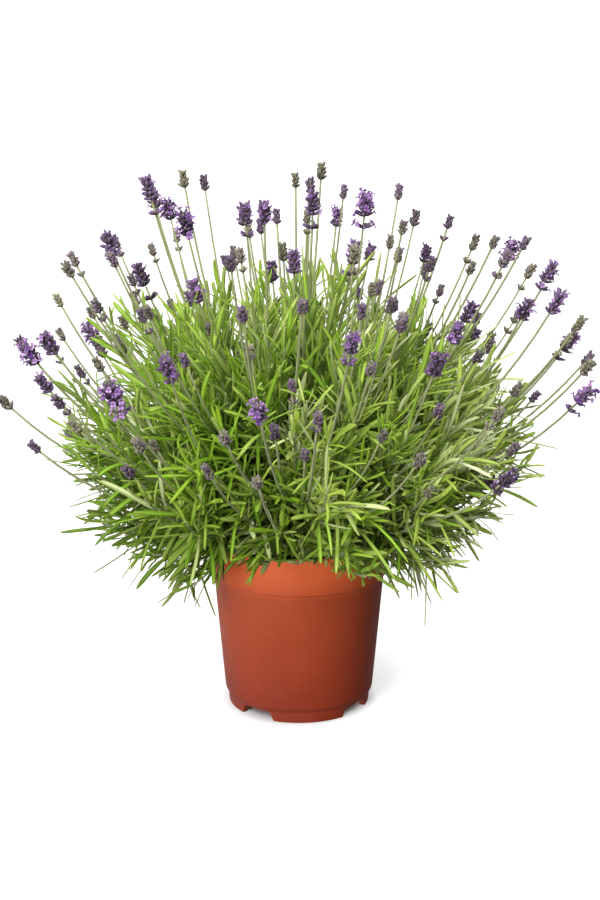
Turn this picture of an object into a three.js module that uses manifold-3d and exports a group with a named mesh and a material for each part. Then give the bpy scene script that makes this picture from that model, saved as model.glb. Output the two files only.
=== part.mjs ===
// A lavender plant in a plastic nursery pot: the pot, its soil, the leafy sprays and the open flower heads.
// Millimetres and degrees, +Z up. The origin is on the ground under the pot's middle, and -Y is the front.

import * as THREE from "three";
import Module from "manifold-3d";
import { mergeVertices } from "three/addons/utils/BufferGeometryUtils.js";

const wasm = await Module();
wasm.setup();

// Pot
const POT_HEIGHT = 166;
const RIM_RADIUS = 84.8;
const BAND_BOTTOM_RADIUS = 83.6;
const BAND_BOTTOM = 130;
const BAND_CHAMFER = 0.8;
const INNER_STEP = 5;
const BODY_TOP_RADIUS = 81.2;
const BODY_BOTTOM_RADIUS = 70.9;
const STEP_TOP = 13.6;
const STEP_BOTTOM = 11;
const FOOT_TOP_RADIUS = 68.2;
const FOOT_RADIUS = 67.4;
const FOOT_INNER_RADIUS = 62;
const FLOOR_BOTTOM = 10;
const WALL = 2;
const LIP_ROUND = 1.2;
const POT_SIDES = 32;
const NOTCHES = 4;
const NOTCH_HALF_WIDTH = 15;
const NOTCH_HEIGHT = 8.6;
const NOTCH_FLARE = 3;
const NOTCH_DEPTH = 20;
const FIRST_NOTCH = -36.5;
const DRAIN_HOLES = 4;
const DRAIN_RING_RADIUS = 42;
const DRAIN_RADIUS = 5;
const DRAIN_SIDES = 10;

// Soil
const FIT_GAP = 0.35;
const SOIL_EDGE = 148.5;
const SOIL_TOP = 153;
const SOIL_FLAT_RADIUS = 56;
const SOIL_LUMPS = 1.2;
const HOLE_BOTTOM = 136;
const HOLE_GAP = 0.5;

// Main stems: one in the middle, then an inner and an outer ring
const STEM_RINGS = [
  { stems: 1, rootRadius: 0, polar: 0, turn: 0 },
  { stems: 5, rootRadius: 21, polar: 30, turn: 20 },
  { stems: 8, rootRadius: 43, polar: 57, turn: 0 },
];
const CROWN = new THREE.Vector3(0, 0, 150);
const WOOD_RADIUS = 2.5;
const WOOD_TIP_RADIUS = 1.8;
const WOOD_REACH = 92;
const WOOD_STEPS = 4;
const WOOD_SIDES = 5;
const WOOD_STRAIGHT = 3;

// Flower stalks, spread evenly over a dome
const STALKS = 108;
const GOLDEN_ANGLE = 137.508;
const WIDEST_POLAR = 63;
const DOME_REACH = 356;
const DOME_SHOULDER = 35;
const DOME_FALL = 0.08;
const SHORTEST_SHARE = 0.26;
const STALK_JITTER = 3;
const STEEPEST_JITTER = 12;
const LEAVE_LEAN = 1.12;
const END_LEAN = 0.72;
const LOWEST_LEAN = 88;
const HANDLE = 0.38;
const STALK_RADIUS = 1.3;
const STALK_TIP_RADIUS = 0.9;
const STALK_STEPS = 3;
const STALK_SHOULDER = 13;
const STALK_SIDES = 3;
const LOWEST_FORK = 0.3;
const HIGHEST_FORK = 0.93;

// Side shoots without flowers, which arch out over the rim
const SIDE_SHOOTS = 22;
const SIDE_REACH = 146;
const SIDE_RISE = 140;
const SIDE_JITTER = 8;
const SIDE_TURN = 17;
const SIDE_LEAVE_LEAN = 0.7;
const LOW_END_LEAN = 1.35;
const SIDE_NODES = [0.88, 0.6, 0.4];

// Leaves
const LEAF_LENGTH = 44;
const LEAF_WIDTH = 4.4;
const LEAF_KEEL = 1;
const END_LEAF_SHARE = 0.8;
const LEAF_TRIES = 60;
const LONG_BLADE = [
  { t: 0.3, width: 0.95, keel: 1 },
  { t: 0.7, width: 0.85, keel: 0.8 },
];
const SHORT_BLADE = [{ t: 0.45, width: 1, keel: 1 }];
const SIDE_LEAF = { droop: 0.55, blade: LONG_BLADE };
const STALK_LEAF = { droop: 0.2, blade: SHORT_BLADE };
const ROOT_HEIGHT = 1.6;
const ROOT_SHARE = 0.3;
const ROOT_MARGIN = 0.12;
const PAIR_TURN = 25;
const LEAF_SPREAD = [30, 56];
const LEAF_TURN = [10, 45];
const LEAF_LENGTHS = [0.8, 1.15];
const LEAF_WIDTHS = [0.85, 1.1];
const SHORTENED = 0.75;
const LEAF_STEPS = 4;
const STALK_LEAVES = [0.18, 0.72];
const GOLDEN_SHARE = 0.618;
const CLEARANCE = 0.5;
const POT_MARGIN = 3;

// Flower heads: violet when open, and fused to the stalk as a green bud when closed
const HEAD_LENGTH = 25;
const HEAD_RADIUS = 5.6;
const HEAD_SIDES = 6;
const HEAD_WHORLS = 5;
const BUD_LENGTH = 18;
const BUD_RADIUS = 3.6;
const BUD_SIDES = 4;
const BUD_WHORLS = 3;
const SEAT_GAP = 0.35;
const WHORL_MIDDLE = 0.45;
const ENDS_NARROWER = 0.5;
const HOLLOW_SHARE = 0.5;
const PEAK_RISE = 0.07;
const HOLLOW_DROP = 0.03;

const SEED = 38;
const SAME_POINT = 1e-4;
const UP = new THREE.Vector3(0, 0, 1);

const PLASTIC = { color: 0xb4552f, roughness: 0.5, metalness: 0 };
const EARTH = { color: 0x2b1e16, roughness: 1, metalness: 0 };
const LEAF_GREEN = { color: 0x7f9450, roughness: 0.8, metalness: 0 };
const VIOLET = { color: 0x6f4f8a, roughness: 0.8, metalness: 0 };

const radians = THREE.MathUtils.degToRad;
const degrees = THREE.MathUtils.radToDeg;
const lerp = THREE.MathUtils.lerp;
const clamp = THREE.MathUtils.clamp;

/** A seeded source of even draws between two numbers. */
function dice(seed) {
  let state = seed >>> 0;
  return (low, high) => {
    state = (state + 0x6d2b79f5) >>> 0;
    let mix = Math.imul(state ^ (state >>> 15), state | 1);
    mix = (mix + Math.imul(mix ^ (mix >>> 7), mix | 61)) ^ mix;
    return low + ((high - low) * ((mix ^ (mix >>> 14)) >>> 0)) / 4294967296;
  };
}

/** The unit vector at a polar angle from +Z and an azimuth from +X. */
function direction(polar, azimuth) {
  const across = Math.sin(radians(polar));
  return new THREE.Vector3(
    across * Math.cos(radians(azimuth)),
    across * Math.sin(radians(azimuth)),
    Math.cos(radians(polar)),
  );
}

/** A point some way from another. */
function along(from, way, reach) {
  return from.clone().addScaledVector(way, reach);
}

/** The part of a vector that is square to a unit axis, at unit length. */
function square(vector, axis) {
  return along(vector, axis, -vector.dot(axis)).normalize();
}

/** A geometry whose faces share their points. */
function weld(geometry) {
  geometry.deleteAttribute("normal");
  geometry.deleteAttribute("uv");
  return mergeVertices(geometry, SAME_POINT);
}

/** A geometry's solid. */
function solid(geometry) {
  const merged = weld(geometry);
  return new wasm.Manifold(
    new wasm.Mesh({
      numProp: 3,
      vertProperties: new Float32Array(merged.attributes.position.array),
      triVerts: new Uint32Array(merged.index.array),
    }),
  );
}

/** A closed skin in the making. Faces turn anticlockwise, and so do rings seen against the way forward. */
class Skin {
  points = [];
  faces = [];

  /** Adds points and gives back their numbers. */
  ring(points) {
    const first = this.points.length;
    this.points.push(...points);
    return points.map((_, i) => first + i);
  }

  /** Adds a face and gives back its number. */
  face(...corners) {
    return this.faces.push(corners) - 1;
  }

  /** Walls between two rings, of which either may be a single point. Gives back the faces of each side. */
  join(low, high, folded = () => false) {
    const sides = Math.max(low.length, high.length);
    return Array.from({ length: sides }, (_, i) => {
      const next = (i + 1) % sides;
      const [a, b, c, d] = [low[i], low[next], high[next], high[i]];
      if (high.length === 1) return [this.face(a, b, high[0])];
      if (low.length === 1) return [this.face(low[0], c, d)];
      if (folded(i)) return [this.face(a, b, d), this.face(b, c, d)];
      return [this.face(a, b, c), this.face(a, c, d)];
    });
  }

  /** A flat end over a ring. */
  cap(ring) {
    for (let i = 2; i < ring.length; i++) this.face(ring[0], ring[i - 1], ring[i]);
  }

  /** Opens a face round a small ring of points in its plane, from which another form can grow. */
  open(index, points) {
    const corners = this.faces[index];
    const [a, b, c] = corners.map((corner) => this.points[corner]);
    const across = along(b, a, -1).normalize();
    const normal = new THREE.Vector3().crossVectors(across, along(c, a, -1)).normalize();
    const upward = new THREE.Vector3().crossVectors(normal, across);
    const flat = (point) => new THREE.Vector2(along(point, a, -1).dot(across), along(point, a, -1).dot(upward));
    const ring = this.ring(points);
    const numbers = [...corners, ...ring];
    const made = THREE.ShapeUtils.triangulateShape([a, b, c].map(flat), [points.map(flat)]);
    const faces = made.map((face) => face.map((corner) => numbers[corner]));
    this.faces[index] = faces[0];
    this.faces.push(...faces.slice(1));
    return ring;
  }

  solid() {
    const geometry = new THREE.BufferGeometry().setFromPoints(this.points);
    geometry.setIndex(this.faces.flat());
    return solid(geometry);
  }
}

/** A closed solid over rings. */
function loft(rings) {
  const skin = new Skin();
  let last = skin.ring(rings[0]);
  skin.cap([...last].reverse());
  for (const points of rings.slice(1)) {
    const next = skin.ring(points);
    skin.join(last, next);
    last = next;
  }
  skin.cap(last);
  return skin.solid();
}

/** A round section: points about a centre, square to an axis, the first one towards side. */
function section(centre, axis, side, radius, sides) {
  const first = square(side, axis);
  const second = new THREE.Vector3().crossVectors(axis, first);
  return Array.from({ length: sides }, (_, i) => {
    const angle = (2 * Math.PI * i) / sides;
    return along(along(centre, first, radius * Math.cos(angle)), second, radius * Math.sin(angle));
  });
}

/** The straight stretches of a curve, as pieces that those of other owners keep clear of. */
function stretches(curve, steps, radius, owner) {
  return Array.from({ length: steps }, (_, i) => ({
    from: curve.getPoint(i / steps),
    to: curve.getPoint((i + 1) / steps),
    radius,
    owner,
  }));
}

/** The shortest way between two straight stretches. */
function distance(one, other) {
  const u = along(one.to, one.from, -1);
  const v = along(other.to, other.from, -1);
  const w = along(one.from, other.from, -1);
  const [uu, uv, vv, uw, vw] = [u.dot(u), u.dot(v), v.dot(v), u.dot(w), v.dot(w)];
  const spread = uu * vv - uv * uv;
  const first = spread > 1e-9 ? clamp((uv * vw - vv * uw) / spread, 0, 1) : 0;
  const t = clamp((uv * first + vw) / vv, 0, 1);
  const s = clamp((uv * t - uw) / uu, 0, 1);
  return along(along(w, u, s), v, -t).length();
}

/** The pot's wall, lip, floor and foot ring as one turned outline, then notched and drilled. */
function pot() {
  const outline = [
    [0, FLOOR_BOTTOM],
    [FOOT_INNER_RADIUS, FLOOR_BOTTOM],
    [FOOT_INNER_RADIUS, 0],
    [FOOT_RADIUS, 0],
    [FOOT_TOP_RADIUS, STEP_BOTTOM],
    [BODY_BOTTOM_RADIUS, STEP_TOP],
    [BODY_TOP_RADIUS, BAND_BOTTOM],
    [BAND_BOTTOM_RADIUS, BAND_BOTTOM + BAND_CHAMFER],
    [RIM_RADIUS, POT_HEIGHT - LIP_ROUND],
    [RIM_RADIUS - LIP_ROUND, POT_HEIGHT],
    [RIM_RADIUS - WALL, POT_HEIGHT],
    [BAND_BOTTOM_RADIUS - WALL, BAND_BOTTOM - WALL + INNER_STEP],
    [BODY_TOP_RADIUS - WALL, BAND_BOTTOM - WALL],
    [BODY_BOTTOM_RADIUS - WALL, STEP_TOP + WALL / 2],
    [FOOT_TOP_RADIUS - WALL, FLOOR_BOTTOM + WALL],
    [0, FLOOR_BOTTOM + WALL],
  ].map(([radius, height]) => new THREE.Vector2(radius, height));
  let body = solid(new THREE.LatheGeometry(outline, POT_SIDES).rotateX(Math.PI / 2));
  for (let i = 0; i < NOTCHES; i++) body = body.subtract(notch(FIRST_NOTCH + (360 * i) / NOTCHES));
  for (let i = 0; i < DRAIN_HOLES; i++) body = body.subtract(drain((360 * i) / DRAIN_HOLES));
  return body;
}

/** The space of one notch in the foot ring, wider at the ground and with blunt upper corners. */
function notch(azimuth) {
  const outline = [
    [NOTCH_HALF_WIDTH + NOTCH_FLARE, -1],
    [NOTCH_HALF_WIDTH, NOTCH_HEIGHT / 2],
    [NOTCH_HALF_WIDTH - NOTCH_FLARE, NOTCH_HEIGHT],
  ];
  const mirrored = outline.map(([x, z]) => [-x, z]).reverse();
  const shape = new THREE.Shape([...outline, ...mirrored].map(([x, z]) => new THREE.Vector2(x, z)));
  const geometry = new THREE.ExtrudeGeometry(shape, { depth: NOTCH_DEPTH, bevelEnabled: false });
  geometry.rotateX(Math.PI / 2);
  geometry.translate(0, (FOOT_RADIUS + FOOT_INNER_RADIUS + NOTCH_DEPTH) / 2, 0);
  geometry.rotateZ(radians(azimuth - 90));
  return solid(geometry);
}

/** One round drain hole through the pot's floor. */
function drain(azimuth) {
  const geometry = new THREE.CylinderGeometry(DRAIN_RADIUS, DRAIN_RADIUS, 3 * WALL, DRAIN_SIDES);
  geometry.rotateX(Math.PI / 2);
  const centre = direction(90, azimuth).multiplyScalar(DRAIN_RING_RADIUS);
  geometry.translate(centre.x, centre.y, FLOOR_BOTTOM + WALL / 2);
  return solid(geometry);
}

/** The soil: it fills the pot, rises to the middle, is lumpy on top, and has a plain hole for each stem. */
function soil(stems) {
  const inner = (radius) => radius - WALL - FIT_GAP;
  const outline = [
    [0, FLOOR_BOTTOM + WALL + FIT_GAP],
    [inner(FOOT_TOP_RADIUS) - FIT_GAP, FLOOR_BOTTOM + WALL + FIT_GAP],
    [inner(BODY_TOP_RADIUS), BAND_BOTTOM - WALL],
    [inner(BAND_BOTTOM_RADIUS), SOIL_EDGE],
    [SOIL_FLAT_RADIUS, SOIL_TOP - 2],
    [0, SOIL_TOP],
  ].map(([radius, height]) => new THREE.Vector2(radius, height));
  const merged = weld(new THREE.LatheGeometry(outline, POT_SIDES).rotateX(Math.PI / 2));
  const places = merged.attributes.position;
  const draw = dice(SEED);
  for (let i = 0; i < places.count; i++) {
    const lump = draw(-SOIL_LUMPS, SOIL_LUMPS);
    if (places.getZ(i) > SOIL_EDGE + 1) places.setZ(i, places.getZ(i) + lump);
  }
  let body = solid(merged);
  for (const { root, side } of stems) {
    const bottom = root.clone().setZ(HOLE_BOTTOM - FIT_GAP);
    const hole = section(bottom, UP, side, WOOD_RADIUS + HOLE_GAP, WOOD_SIDES);
    const mouth = hole.map((point) => point.clone().setZ(POT_HEIGHT));
    body = body.subtract(loft([hole, mouth]));
  }
  return body;
}

/** The main stems: where each one is rooted, the way it heads, and its curve above the soil. */
function mainStems() {
  const list = [];
  for (const { stems, rootRadius, polar, turn } of STEM_RINGS) {
    for (let i = 0; i < stems; i++) {
      const azimuth = turn + (360 * i) / stems;
      const root = direction(90, azimuth).multiplyScalar(rootRadius).setZ(HOLE_BOTTOM);
      const ground = root.clone().setZ(SOIL_TOP + WOOD_STRAIGHT);
      const heading = direction(polar, azimuth);
      const tip = along(CROWN, heading, WOOD_REACH);
      const lift = ground.distanceTo(tip) / 3;
      list.push({
        name: `spray_${String(list.length + 1).padStart(2, "0")}`,
        root,
        heading,
        side: direction(90, azimuth + 90),
        curve: new THREE.CubicBezierCurve3(ground, along(ground, UP, lift), along(tip, heading, -lift), tip),
        solids: [],
      });
    }
  }
  return list;
}

/** How far the dome of flower heads reaches from the crown at a polar angle. */
function domeReach(polar) {
  return DOME_REACH - DOME_FALL * Math.max(0, polar - DOME_SHOULDER) ** 2;
}

/** A shoot from its place on a main stem to its tip: it turns from the one lean to the other on its way. */
function shootCurve(base, tip, leaveLean, endLean) {
  const span = along(tip, base, -1);
  const length = span.length();
  const polar = degrees(span.angleTo(UP));
  const azimuth = degrees(Math.atan2(span.y, span.x));
  const leave = direction(Math.min(LOWEST_LEAN, polar * leaveLean), azimuth);
  const end = direction(polar * endLean, azimuth);
  const handle = HANDLE * length;
  return new THREE.CubicBezierCurve3(base, along(base, leave, handle), along(tip, end, -handle), tip);
}

/** Gives each shoot its parent stem and its curve. Along a stem, the shoots that lean out most start lowest. */
function branch(shoots, stems) {
  for (const shoot of shoots) {
    const way = along(shoot.tip, CROWN, -1).normalize();
    shoot.parent = stems.reduce((best, stem) => (stem.heading.dot(way) > best.heading.dot(way) ? stem : best));
    shoot.lean = degrees(way.angleTo(UP));
  }
  for (const stem of stems) {
    const own = shoots.filter((shoot) => shoot.parent === stem).sort((a, b) => b.lean - a.lean);
    own.forEach((shoot, rank) => {
      const base = stem.curve.getPoint(lerp(LOWEST_FORK, HIGHEST_FORK, rank / (own.length - 1)));
      shoot.curve = shootCurve(base, shoot.tip, shoot.leaveLean, shoot.endLean);
    });
  }
}

/** The flower stalks: tips spread evenly over the dome, each one shortened by its own draw. */
function flowerStalks() {
  return Array.from({ length: STALKS }, (_, k) => {
    const draw = dice(SEED * 1000 + k);
    const even = degrees(Math.acos(1 - ((k + 0.5) / STALKS) * (1 - Math.cos(radians(WIDEST_POLAR)))));
    const polar = Math.abs(even + draw(-1, 1) * STALK_JITTER);
    const breadth = Math.sin(radians(Math.max(polar, STEEPEST_JITTER)));
    const azimuth = k * GOLDEN_ANGLE + (draw(-1, 1) * STALK_JITTER) / breadth;
    const reach = domeReach(polar) * (1 - SHORTEST_SHARE * draw(0, 1) ** 2);
    return {
      tip: along(CROWN, direction(polar, azimuth), reach),
      side: direction(90, azimuth + 90),
      size: draw(0.85, 1.15),
      open: k % 5 === 0 || k % 5 === 2,
      leaveLean: LEAVE_LEAN,
      endLean: END_LEAN,
    };
  });
}

/** The side shoots: tips spread evenly round the rim, the low ones closer in and drooping. */
function sideShoots() {
  return Array.from({ length: SIDE_SHOOTS }, (_, k) => {
    const draw = dice(SEED * 2000 + k);
    const azimuth = k * GOLDEN_ANGLE + SIDE_TURN + (draw(-1, 1) * SIDE_JITTER) / 2;
    const rise = SIDE_RISE * ((k + 0.5) / SIDE_SHOOTS);
    const tip = direction(90, azimuth).multiplyScalar(SIDE_REACH + rise / 2 + draw(-1, 1) * SIDE_JITTER);
    tip.z = CROWN.z + rise;
    const endLean = lerp(LOW_END_LEAN, 1, k / SIDE_SHOOTS);
    return { tip, side: direction(90, azimuth + 90), leaveLean: SIDE_LEAVE_LEAN, endLean };
  });
}

/**
 * Grows a flower head on a ring. Each whorl has as many peaks as hollows, the next whorl's turned between
 * them, and the faces fold from hollow to hollow, so each peak stands alone.
 */
function growWhorls(skin, ring, base, axis, side, length, radius, count) {
  let last = ring;
  for (let whorl = 0; whorl < count; whorl++) {
    const share = (whorl + WHORL_MIDDLE) / count;
    const width = radius * (1 - ENDS_NARROWER * (2 * share - 2 * WHORL_MIDDLE) ** 2);
    const centre = along(base, axis, length * share);
    const peaks = section(along(centre, axis, length * PEAK_RISE), axis, side, width, ring.length);
    const low = along(centre, axis, -length * HOLLOW_DROP);
    const hollows = section(low, axis, side, width * HOLLOW_SHARE, ring.length);
    const next = skin.ring(peaks.map((peak, i) => ((i + whorl) % 2 === 0 ? peak : hollows[i])));
    skin.join(last, next, (i) => whorl > 0 && (i + whorl) % 2 === 1);
    last = next;
  }
  skin.join(last, skin.ring([along(base, axis, length)]));
}

/** A blade's curve, whose outer half droops, and its rings of three points: two edges and a keel below. */
function bladeForm(root, way, up, length, width, droop, stations) {
  const bend = along(root, way, length / 2);
  const tip = along(bend, along(way, UP, -droop).normalize(), length / 2);
  const curve = new THREE.QuadraticBezierCurve3(root, bend, tip);
  const rings = stations.map((station) => {
    const centre = curve.getPoint(station.t);
    const forward = curve.getTangent(station.t);
    const face = square(up, forward);
    const across = new THREE.Vector3().crossVectors(face, forward);
    const half = (width * station.width) / 2;
    const keel = along(centre, face, -LEAF_KEEL * station.keel);
    return [along(centre, across, half), along(centre, across, -half), keel];
  });
  return { curve, rings: [...rings, [tip]] };
}

/** Walls over a blade's rings, from the ring that it grows on. */
function growBlade(skin, ring, rings) {
  let last = ring;
  for (const points of rings) {
    const next = skin.ring(points);
    skin.join(last, next);
    last = next;
  }
}

/** The stem of a shoot: from a point inside its parent it widens to its first ring, then tapers to its tip. */
function growStem(shoot, sides) {
  const { curve, side } = shoot;
  const marks = [STALK_SHOULDER / curve.getLength()];
  for (let i = 1; i <= STALK_STEPS; i++) marks.push(i / STALK_STEPS);
  shoot.skin = new Skin();
  shoot.walls = [];
  let last = shoot.skin.ring([curve.getPoint(0)]);
  for (const t of marks) {
    const radius = lerp(STALK_RADIUS, STALK_TIP_RADIUS, t);
    const next = shoot.skin.ring(section(curve.getPoint(t), curve.getTangent(t), side, radius, sides));
    shoot.walls.push({ t, faces: shoot.skin.join(last, next) });
    last = next;
  }
  return last;
}

/** Whether a piece stays over the soil, over the rim or outside the pot. */
function clearOfPot({ from, to }) {
  return [0, 0.25, 0.5, 0.75, 1].every((t) => {
    const point = from.clone().lerp(to, t);
    const radius = Math.hypot(point.x, point.y);
    const inside = radius < RIM_RADIUS - WALL - POT_MARGIN && point.z > SOIL_TOP + POT_MARGIN;
    return inside || point.z > POT_HEIGHT + POT_MARGIN || radius > RIM_RADIUS + POT_MARGIN;
  });
}

/** Whether a piece stays off all that is placed, apart from what the given owners have. */
function clearOf(placed, piece, owners) {
  return placed.every(
    (other) => owners.includes(other.owner) || distance(piece, other) > piece.radius + other.radius + CLEARANCE,
  );
}

/** The place for a leaf on a shoot's wall, near t on one side: the face, its middle and its free width. */
function leafPlace({ skin, walls, curve }, t, side) {
  const above = walls.findIndex((wall) => wall.t > t);
  const [low, high] = [walls[above - 1].t, walls[above].t];
  const share = clamp((t - low) / (high - low), ROOT_MARGIN, 1 - ROOT_MARGIN);
  const sideFaces = walls[above].faces[side % walls[above].faces.length];
  const index = sideFaces[share < 0.5 ? 0 : 1];
  const [a, b, c] = skin.faces[index].map((corner) => skin.points[corner]);
  const one = a.clone().lerp(share < 0.5 ? c : b, share);
  const other = (share < 0.5 ? b : a).clone().lerp(c, share);
  return {
    index,
    centre: one.clone().lerp(other, 0.5),
    width: one.distanceTo(other),
    normal: new THREE.Vector3().crossVectors(along(b, a, -1), along(c, a, -1)).normalize(),
    axis: curve.getTangent(lerp(low, high, share)),
  };
}

/** The small ring on a wall from which a leaf grows: two upper points and one below. */
function leafRoot({ centre, width, normal, axis }) {
  const upward = square(axis, normal);
  const across = new THREE.Vector3().crossVectors(upward, normal);
  const top = along(centre, upward, ROOT_HEIGHT / 2);
  const half = width * ROOT_SHARE;
  return [along(top, across, half), along(top, across, -half), along(centre, upward, -ROOT_HEIGHT / 2)];
}

/** Grows one leaf of a pair: redrawn more and more freely until it is clear of all else, or left out. */
function growLeaf(shoot, pair, place, turn, { droop, blade }, draw, placed) {
  const { centre, normal, axis, index } = place;
  const sideways = square(axis, normal).cross(normal);
  for (let i = 0; i < LEAF_TRIES; i++) {
    const freedom = i / LEAF_TRIES;
    const angle = radians(turn + draw(-1, 1) * lerp(...LEAF_TURN, freedom));
    const spread = radians(draw(...LEAF_SPREAD));
    const length = LEAF_LENGTH * draw(...LEAF_LENGTHS) * lerp(1, SHORTENED, freedom);
    const width = LEAF_WIDTH * draw(...LEAF_WIDTHS);
    const aside = along(normal.clone().multiplyScalar(Math.cos(angle)), sideways, Math.sin(angle));
    const way = along(square(axis, aside).multiplyScalar(Math.cos(spread)), aside, Math.sin(spread));
    const { curve, rings } = bladeForm(centre, way, axis, length, width, droop, blade);
    const pieces = stretches(curve, LEAF_STEPS, width / 2, pair);
    const fits = (piece, k) => clearOfPot(piece) && clearOf(placed, piece, k ? [pair] : [pair, shoot]);
    if (pieces.every(fits)) {
      placed.push(...pieces);
      growBlade(shoot.skin, shoot.skin.open(index, leafRoot(place)), rings);
      return;
    }
  }
}

/** Grows an opposite pair of leaves from a shoot, near t, from two neighbouring sides and turned apart. */
function growPair(shoot, t, side, form, draw, placed) {
  const places = [side, side + 1].map((each) => leafPlace(shoot, t, each));
  if (places.some(({ index }) => shoot.taken.has(index))) return;
  const pair = {};
  places.forEach((place, i) => {
    shoot.taken.add(place.index);
    growLeaf(shoot, pair, place, i ? PAIR_TURN : -PAIR_TURN, form, draw, placed);
  });
}

/** A mesh of one node. */
function mesh(name, body, look) {
  const { vertProperties, triVerts } = body.getMesh();
  const geometry = new THREE.BufferGeometry();
  geometry.setAttribute("position", new THREE.BufferAttribute(new Float32Array(vertProperties), 3));
  geometry.setIndex(Array.from(triVerts));
  const node = new THREE.Mesh(geometry, new THREE.MeshStandardMaterial(look));
  node.name = name;
  return node;
}

const plant = new THREE.Group();
const stems = mainStems();
const stalks = flowerStalks();
const shoots = sideShoots();
branch([...stalks, ...shoots], stems);
const placed = [];

for (const stem of stems) {
  const { root, side, curve, solids } = stem;
  const rings = [section(root, UP, side, WOOD_RADIUS, WOOD_SIDES)];
  for (let i = 0; i <= WOOD_STEPS; i++) {
    const t = i / WOOD_STEPS;
    const radius = lerp(WOOD_RADIUS, WOOD_TIP_RADIUS, t);
    rings.push(section(curve.getPoint(t), curve.getTangent(t), side, radius, WOOD_SIDES));
  }
  solids.push(loft(rings));
  placed.push(...stretches(curve, WOOD_STEPS, WOOD_RADIUS, stem));
}
for (const shoot of [...stalks, ...shoots]) {
  shoot.taken = new Set();
  placed.push(...stretches(shoot.curve, STALK_STEPS, STALK_RADIUS, shoot));
}

const heads = [];
for (const stalk of stalks) {
  const { curve, side, size, open } = stalk;
  const tip = curve.getPoint(1);
  const axis = curve.getTangent(1);
  const ring = growStem(stalk, open ? STALK_SIDES : BUD_SIDES);
  const length = size * (open ? HEAD_LENGTH : BUD_LENGTH);
  const radius = size * (open ? HEAD_RADIUS : BUD_RADIUS);
  if (open) {
    stalk.skin.cap(ring);
    const base = along(tip, axis, SEAT_GAP);
    const head = new Skin();
    const seat = head.ring(section(base, axis, side, STALK_RADIUS, HEAD_SIDES));
    head.cap([...seat].reverse());
    growWhorls(head, seat, base, axis, side, length, radius, HEAD_WHORLS);
    heads.push(mesh(`head_${String(heads.length + 1).padStart(2, "0")}`, head.solid(), VIOLET));
  } else {
    growWhorls(stalk.skin, ring, tip, axis, side, length, radius, BUD_WHORLS);
  }
  placed.push({ from: tip, to: along(tip, axis, length), radius });
}
for (const shoot of shoots) {
  const ring = growStem(shoot, STALK_SIDES);
  const tip = shoot.curve.getPoint(1);
  const axis = shoot.curve.getTangent(1);
  const { droop, blade } = SIDE_LEAF;
  const { curve, rings } = bladeForm(tip, axis, UP, LEAF_LENGTH * END_LEAF_SHARE, LEAF_WIDTH, droop, blade);
  growBlade(shoot.skin, ring, rings);
  placed.push(...stretches(curve, LEAF_STEPS, LEAF_WIDTH / 2, shoot));
}

const leafDraw = dice(SEED * 3000);
SIDE_NODES.forEach((t, node) => {
  shoots.forEach((shoot, k) => growPair(shoot, t, k + 2 * node, SIDE_LEAF, leafDraw, placed));
});
stalks.forEach((stalk, k) => {
  const t = lerp(...STALK_LEAVES, (k * GOLDEN_SHARE) % 1);
  if (k % 4 < 3) growPair(stalk, t, k, STALK_LEAF, leafDraw, placed);
});
for (const { parent, skin } of [...stalks, ...shoots]) parent.solids.push(skin.solid());

plant.add(mesh("pot", pot(), PLASTIC), mesh("soil", soil(stems), EARTH));
for (const { name, solids } of stems) plant.add(mesh(name, wasm.Manifold.union(solids), LEAF_GREEN));
plant.add(...heads);

export default plant;
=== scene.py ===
"""A lavender plant in its nursery pot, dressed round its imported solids.

Shapes are worked out in millimetres, in the frame of the solids: the pot's middle is at the origin, +Z is up and -Y
is the front. Every surface is a set of pods: rings of points, one after the other, closed by a single point at each
end. Turns and leans are in degrees. A pair of numbers is the range of an even draw, the values at two ends, or the
mean and spread of a tone.
"""

import math

import bpy
import numpy as np
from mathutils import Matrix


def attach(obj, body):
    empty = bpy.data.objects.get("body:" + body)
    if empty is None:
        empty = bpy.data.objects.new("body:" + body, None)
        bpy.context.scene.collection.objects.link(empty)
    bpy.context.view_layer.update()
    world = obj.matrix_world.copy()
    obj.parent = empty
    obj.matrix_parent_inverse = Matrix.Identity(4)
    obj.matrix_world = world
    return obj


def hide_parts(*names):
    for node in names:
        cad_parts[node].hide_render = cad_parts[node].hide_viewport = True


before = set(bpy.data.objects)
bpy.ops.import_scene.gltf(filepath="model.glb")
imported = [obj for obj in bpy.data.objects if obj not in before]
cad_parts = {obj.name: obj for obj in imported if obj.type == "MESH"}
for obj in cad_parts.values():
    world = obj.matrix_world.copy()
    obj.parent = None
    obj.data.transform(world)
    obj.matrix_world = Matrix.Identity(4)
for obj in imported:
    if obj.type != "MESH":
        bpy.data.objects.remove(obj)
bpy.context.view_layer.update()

MM = 0.001
UP = np.array([0.0, 0.0, 1.0])

# Camera, at the photograph's angle
CAMERA_PLACE = (0.001, -1.605, 0.665)
CAMERA_TILT = 75.4
CAMERA_LENS = 70.7
CAMERA_SENSOR = 36.0

# Studio: a white floor that glows all round but not close to the pot, which paints a shadow round the pot's foot,
# suns by their turn, the angle they fill and their strength, and a surround that fades from its bright side and is
# seen as white
FLOOR_REACH = 60.0
FLOOR_WHITE = 0.52
FLOOR_GLOW = 0.6
# Painted shadow round the pot's foot: how far from the axis the floor's glow starts, and where it is full
PAINTED_SHADOW_REACH = 0.056
PAINTED_SHADOW_END = 0.076
SUNS = (
    ("key_sun", (56.0, 0.0, -27.0), 24.0, 1.95),
    ("front_sun", (80.0, 0.0, -31.0), 24.0, 1.85),
    ("right_sun", (27.0, 0.0, 64.0), 18.0, 2.1),
    ("back_sun", (-35.0, 0.0, 20.0), 60.0, 0.8),
)
SURROUND_BRIGHT = (-0.8, -0.25, 0.55)
SURROUND_LOW = 0.12
SURROUND_HIGH = 0.85
SURROUND_SEEN = 1.1

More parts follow.
